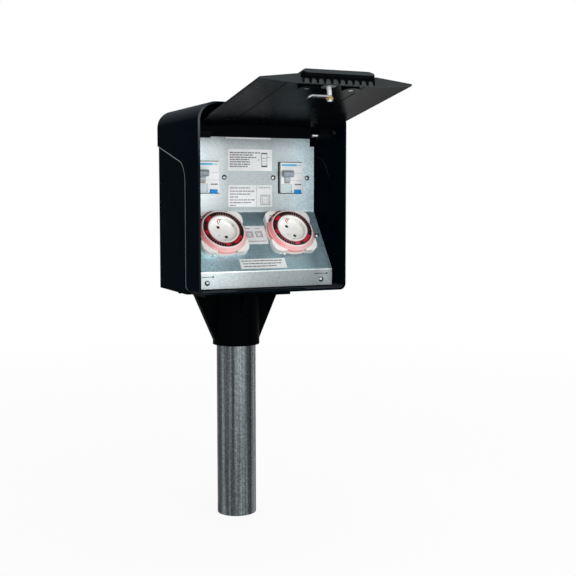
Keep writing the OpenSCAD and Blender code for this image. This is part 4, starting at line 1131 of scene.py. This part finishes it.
class SOCKETPOST_OT_timers(bpy.types.Operator):
    """Socket timers with tappets, clear rims and marks"""

    bl_idname = "socketpost.timers"
    bl_label = "Socket Timers"
    # Painted shade on the base walls that face down and to the left.
    BASE_SHADE = (0.56, 0.56, 0.53)
    BASE_SHADE_WAY = (-0.45, -0.35, -0.82)
    # Painted shade on the inner wall of the socket well that faces left.
    WELL_SHADE = (0.74, 0.74, 0.7)
    WELL_SHADE_WAY = (-0.95, 0.2, -0.25)
    RING_RED = 0.5
    SET_ARCS = ((122.0, 147.0), (-66.0, -28.0), (-96.0, -76.0), (-178.0, -164.0))
    CLOSE_ARC = (-25.0, 119.0)
    CLOSE_SHARE = 0.385
    SHARE = 0.36
    TAPPET_SEAT = 14.1
    TAPPET_OUT = 29.9
    SET_PLATE = ((24.4, 28.2), (14.1, 15.1))
    SET_TOOTH_IN = 28.4
    TAPPET_EDGE = 0.00012
    BLACK, RED, GREEN, GREY, BROWN = range(5)
    BEVEL_FOOT = (36.0, 9.7)
    BEVEL_RUN = (-4.4, 5.5)
    BEVEL_OUT = (0.78, 0.62)
    DASH_RISE = 0.8
    DASHES = (
        (0.0, 0.55, 106.0, 119.0, BLACK), (0.4, 0.7, 120.5, 124.0, RED), (0.3, 0.84, 126.0, 137.0, BLACK),
        (0.06, 0.56, 143.0, 155.0, BLACK))
    # Black plug in the small hole of one ear: painted shade.
    EAR_HOLE_SHADE = ((1.1, 8.2), (1.1, 9.34))
    EAR_HOLE_SHADE_AT = (-27.0, 27.0)
    WELL = 7.7
    WELL_FLOOR = (WELL - 0.05, WELL + 0.07)
    WELL_EDGE = 19.9
    WELL_WALL = (19.8, 20.02)
    ARROW_FLOOR = ((98.0, 103.0, 13.6, RED), (88.0, 92.0, 16.4, BROWN))
    ARROW_WALL = (
        (95.0, 100.0, WELL, 11.6, RED), (86.5, 90.0, WELL, 11.0, BROWN), (88.0, 97.0, 10.6, 11.7, RED),
        (80.0, 83.0, 9.4, 10.4, GREEN))
    WELL_DOTS = (((-6.9, -4.7), (-7.2, -5.6)), ((0.1, 1.9), (-14.8, -13.4)))

    def execute(self, context):
        tone, size = settings(context)
        white = painted_by_facing("timer_white", tone.white, 0.34, 0.5, self.BASE_SHADE, 0.3, 0.85, self.BASE_SHADE_WAY)
        well = painted_by_facing("socket_white", tone.white, 0.34, 0.5, self.WELL_SHADE, 0.1, 0.9, self.WELL_SHADE_WAY)
        clear = clear_rim(tone.rim)
        ring = dial_plastic(tone.dial, scaled(tone.flag, self.RING_RED))
        black = moulded("tappet_black", tone.tappet, 0.34, 0.4)
        red = moulded("tappet_red", tone.flag, 0.32, 0.5)
        green = moulded("mark_green", (0.03, 0.2, 0.06), 0.4, 0.4)
        grey = moulded("mark_grey", (0.4, 0.45, 0.48), 0.4, 0.4)
        mark = moulded("mark_red", (0.5, 0.06, 0.035), 0.4, 0.4)
        brown = moulded("mark_brown", (0.24, 0.1, 0.07), 0.4, 0.4)
        dress(plated("clip_pale", (0.72, 0.72, 0.7), 0.4), "earth_clips")
        for side, sign in SIDES.items():
            dress(white, f"timer_{side}_base", f"timer_{side}_lever")
            dress(well, f"timer_{side}_socket")
            dress(clear, f"timer_{side}_rim")
            dress(ring, f"timer_{side}_dial")
            soften(size.edge, f"timer_{side}_base")
            soften(size.fine_edge, f"timer_{side}_socket", f"timer_{side}_lever", f"timer_{side}_rim")
            place = SLANT @ shift(sign * TIMER_X * MM, -TIMER_DOWN * MM, 0.0)
            self.tappets(place, side, size, [black, red])
            self.marks(place, side, [black, mark, green, grey, brown])
        return {"FINISHED"}

    def tappets(self, place, side, size, tones):
        """Ring of tappets; those that are set show red."""
        step = 360.0 / size.tappets
        seat, out, top = self.TAPPET_SEAT, self.TAPPET_OUT, size.tappet_top / MM
        plate = oblong(*self.SET_PLATE)
        tooth = oblong((self.SET_TOOTH_IN, out), (seat, top))
        tappet = [(24.7, seat), (out, seat), (out, top), (25.2, top), (24.7, top - 0.4)]
        bm = bmesh.new()
        for i in range(size.tappets):
            a = i * step
            bearing = (a + 180.0) % 360.0 - 180.0
            close = self.CLOSE_ARC[0] < bearing < self.CLOSE_ARC[1]
            half = step * (self.CLOSE_SHARE if close else self.SHARE)
            if any(low <= bearing <= high for low, high in self.SET_ARCS):
                arc_block(bm, plate, a - half, a + half, 2, self.RED)
                arc_block(bm, tooth, a - half, a + half, 2, self.BLACK)
            else:
                arc_block(bm, tappet, a - half, a + half, 2, self.BLACK)
        piece(f"timer_{side}_tappets", bm, place, f"dial_{side}", "dial_black", tones, self.TAPPET_EDGE)

    def marks(self, place, side, tones):
        """Dashes on the rim, a black plug in the hole of one ear as painted shade, an outlined arrow and small dots in
        the socket well.
        """
        (foot_r, foot_h), (run_r, run_h) = self.BEVEL_FOOT, self.BEVEL_RUN
        out_r, out_h = (way * self.DASH_RISE for way in self.BEVEL_OUT)
        bm = bmesh.new()
        for low, high, start, end, tint in self.DASHES:
            foot = [(foot_r + run_r * t, foot_h + run_h * t) for t in (low, high)]
            cap = [(r + out_r, h + out_h) for r, h in foot]
            arc_block(bm, [foot[0], cap[0], cap[1], foot[1]], start, end, 6, tint)
        turned(bm, self.EAR_HOLE_SHADE, self.EAR_HOLE_SHADE_AT, self.BLACK)
        for start, end, inner, tint in self.ARROW_FLOOR:
            arc_block(bm, oblong((inner, self.WELL_EDGE), self.WELL_FLOOR), start, end, 3, tint)
        for start, end, low, high, tint in self.ARROW_WALL:
            arc_block(bm, oblong(self.WELL_WALL, (low, high)), start, end, 4, tint)
        for x, y in self.WELL_DOTS:
            slab(bm, x, y, self.WELL_FLOOR, self.GREY)
        piece(f"timer_{side}_marks", bm, place, "post", "timer_white", tones)


class SOCKETPOST_OT_inside(bpy.types.Operator):
    """Terminal blocks and cable grommet behind the panel"""

    bl_idname = "socketpost.inside"
    bl_label = "Inside"

    def execute(self, context):
        tone = context.scene.socket_post_colours
        dress(moulded("terminal_grey", tone.block, 0.45, 0.4), "terminal_blocks")
        dress(moulded("grommet_rubber", tone.rubber, 0.7, 0.2), "cable_grommet")
        return {"FINISHED"}


STEPS = (
    SOCKETPOST_OT_stage,
    SOCKETPOST_OT_post,
    SOCKETPOST_OT_hood,
    SOCKETPOST_OT_lid,
    SOCKETPOST_OT_panel,
    SOCKETPOST_OT_labels,
    SOCKETPOST_OT_breakers,
    SOCKETPOST_OT_timers,
    SOCKETPOST_OT_inside,
)


class SOCKETPOST_PT_sidebar(bpy.types.Panel):
    """Steps and settings of the socket post"""

    bl_idname = "SOCKETPOST_PT_sidebar"
    bl_label = "Socket Post"
    bl_space_type = "VIEW_3D"
    bl_region_type = "UI"
    bl_category = "Socket Post"

    def draw(self, context):
        scene = context.scene
        column = self.layout.column()
        for step in STEPS:
            column.operator(step.bl_idname)
        for group in (scene.socket_post_sizes, scene.socket_post_colours, scene.socket_post_stage):
            for name in group.__annotations__:
                column.prop(group, name)


CLASSES = (SocketPostColours, SocketPostSizes, SocketPostStage, *STEPS, SOCKETPOST_PT_sidebar)


def register():
    for cls in CLASSES:
        bpy.utils.register_class(cls)
    bpy.types.Scene.socket_post_colours = PointerProperty(type=SocketPostColours)
    bpy.types.Scene.socket_post_sizes = PointerProperty(type=SocketPostSizes)
    bpy.types.Scene.socket_post_stage = PointerProperty(type=SocketPostStage)


def unregister():
    del bpy.types.Scene.socket_post_stage
    del bpy.types.Scene.socket_post_sizes
    del bpy.types.Scene.socket_post_colours
    for cls in reversed(CLASSES):
        bpy.utils.unregister_class(cls)


def main():
    register()
    bpy.ops.socketpost.stage()
    bpy.ops.socketpost.post()
    bpy.ops.socketpost.hood()
    bpy.ops.socketpost.lid()
    bpy.ops.socketpost.panel()
    bpy.ops.socketpost.labels()
    bpy.ops.socketpost.breakers()
    bpy.ops.socketpost.timers()
    bpy.ops.socketpost.inside()
    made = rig.bounds()
    with open("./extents.json", "w") as out:
        json.dump({"cad": [list(v) for v in CAD_BOX], "visual": [list(v) for v in made]}, out)


if __name__ == "__main__":
    main()
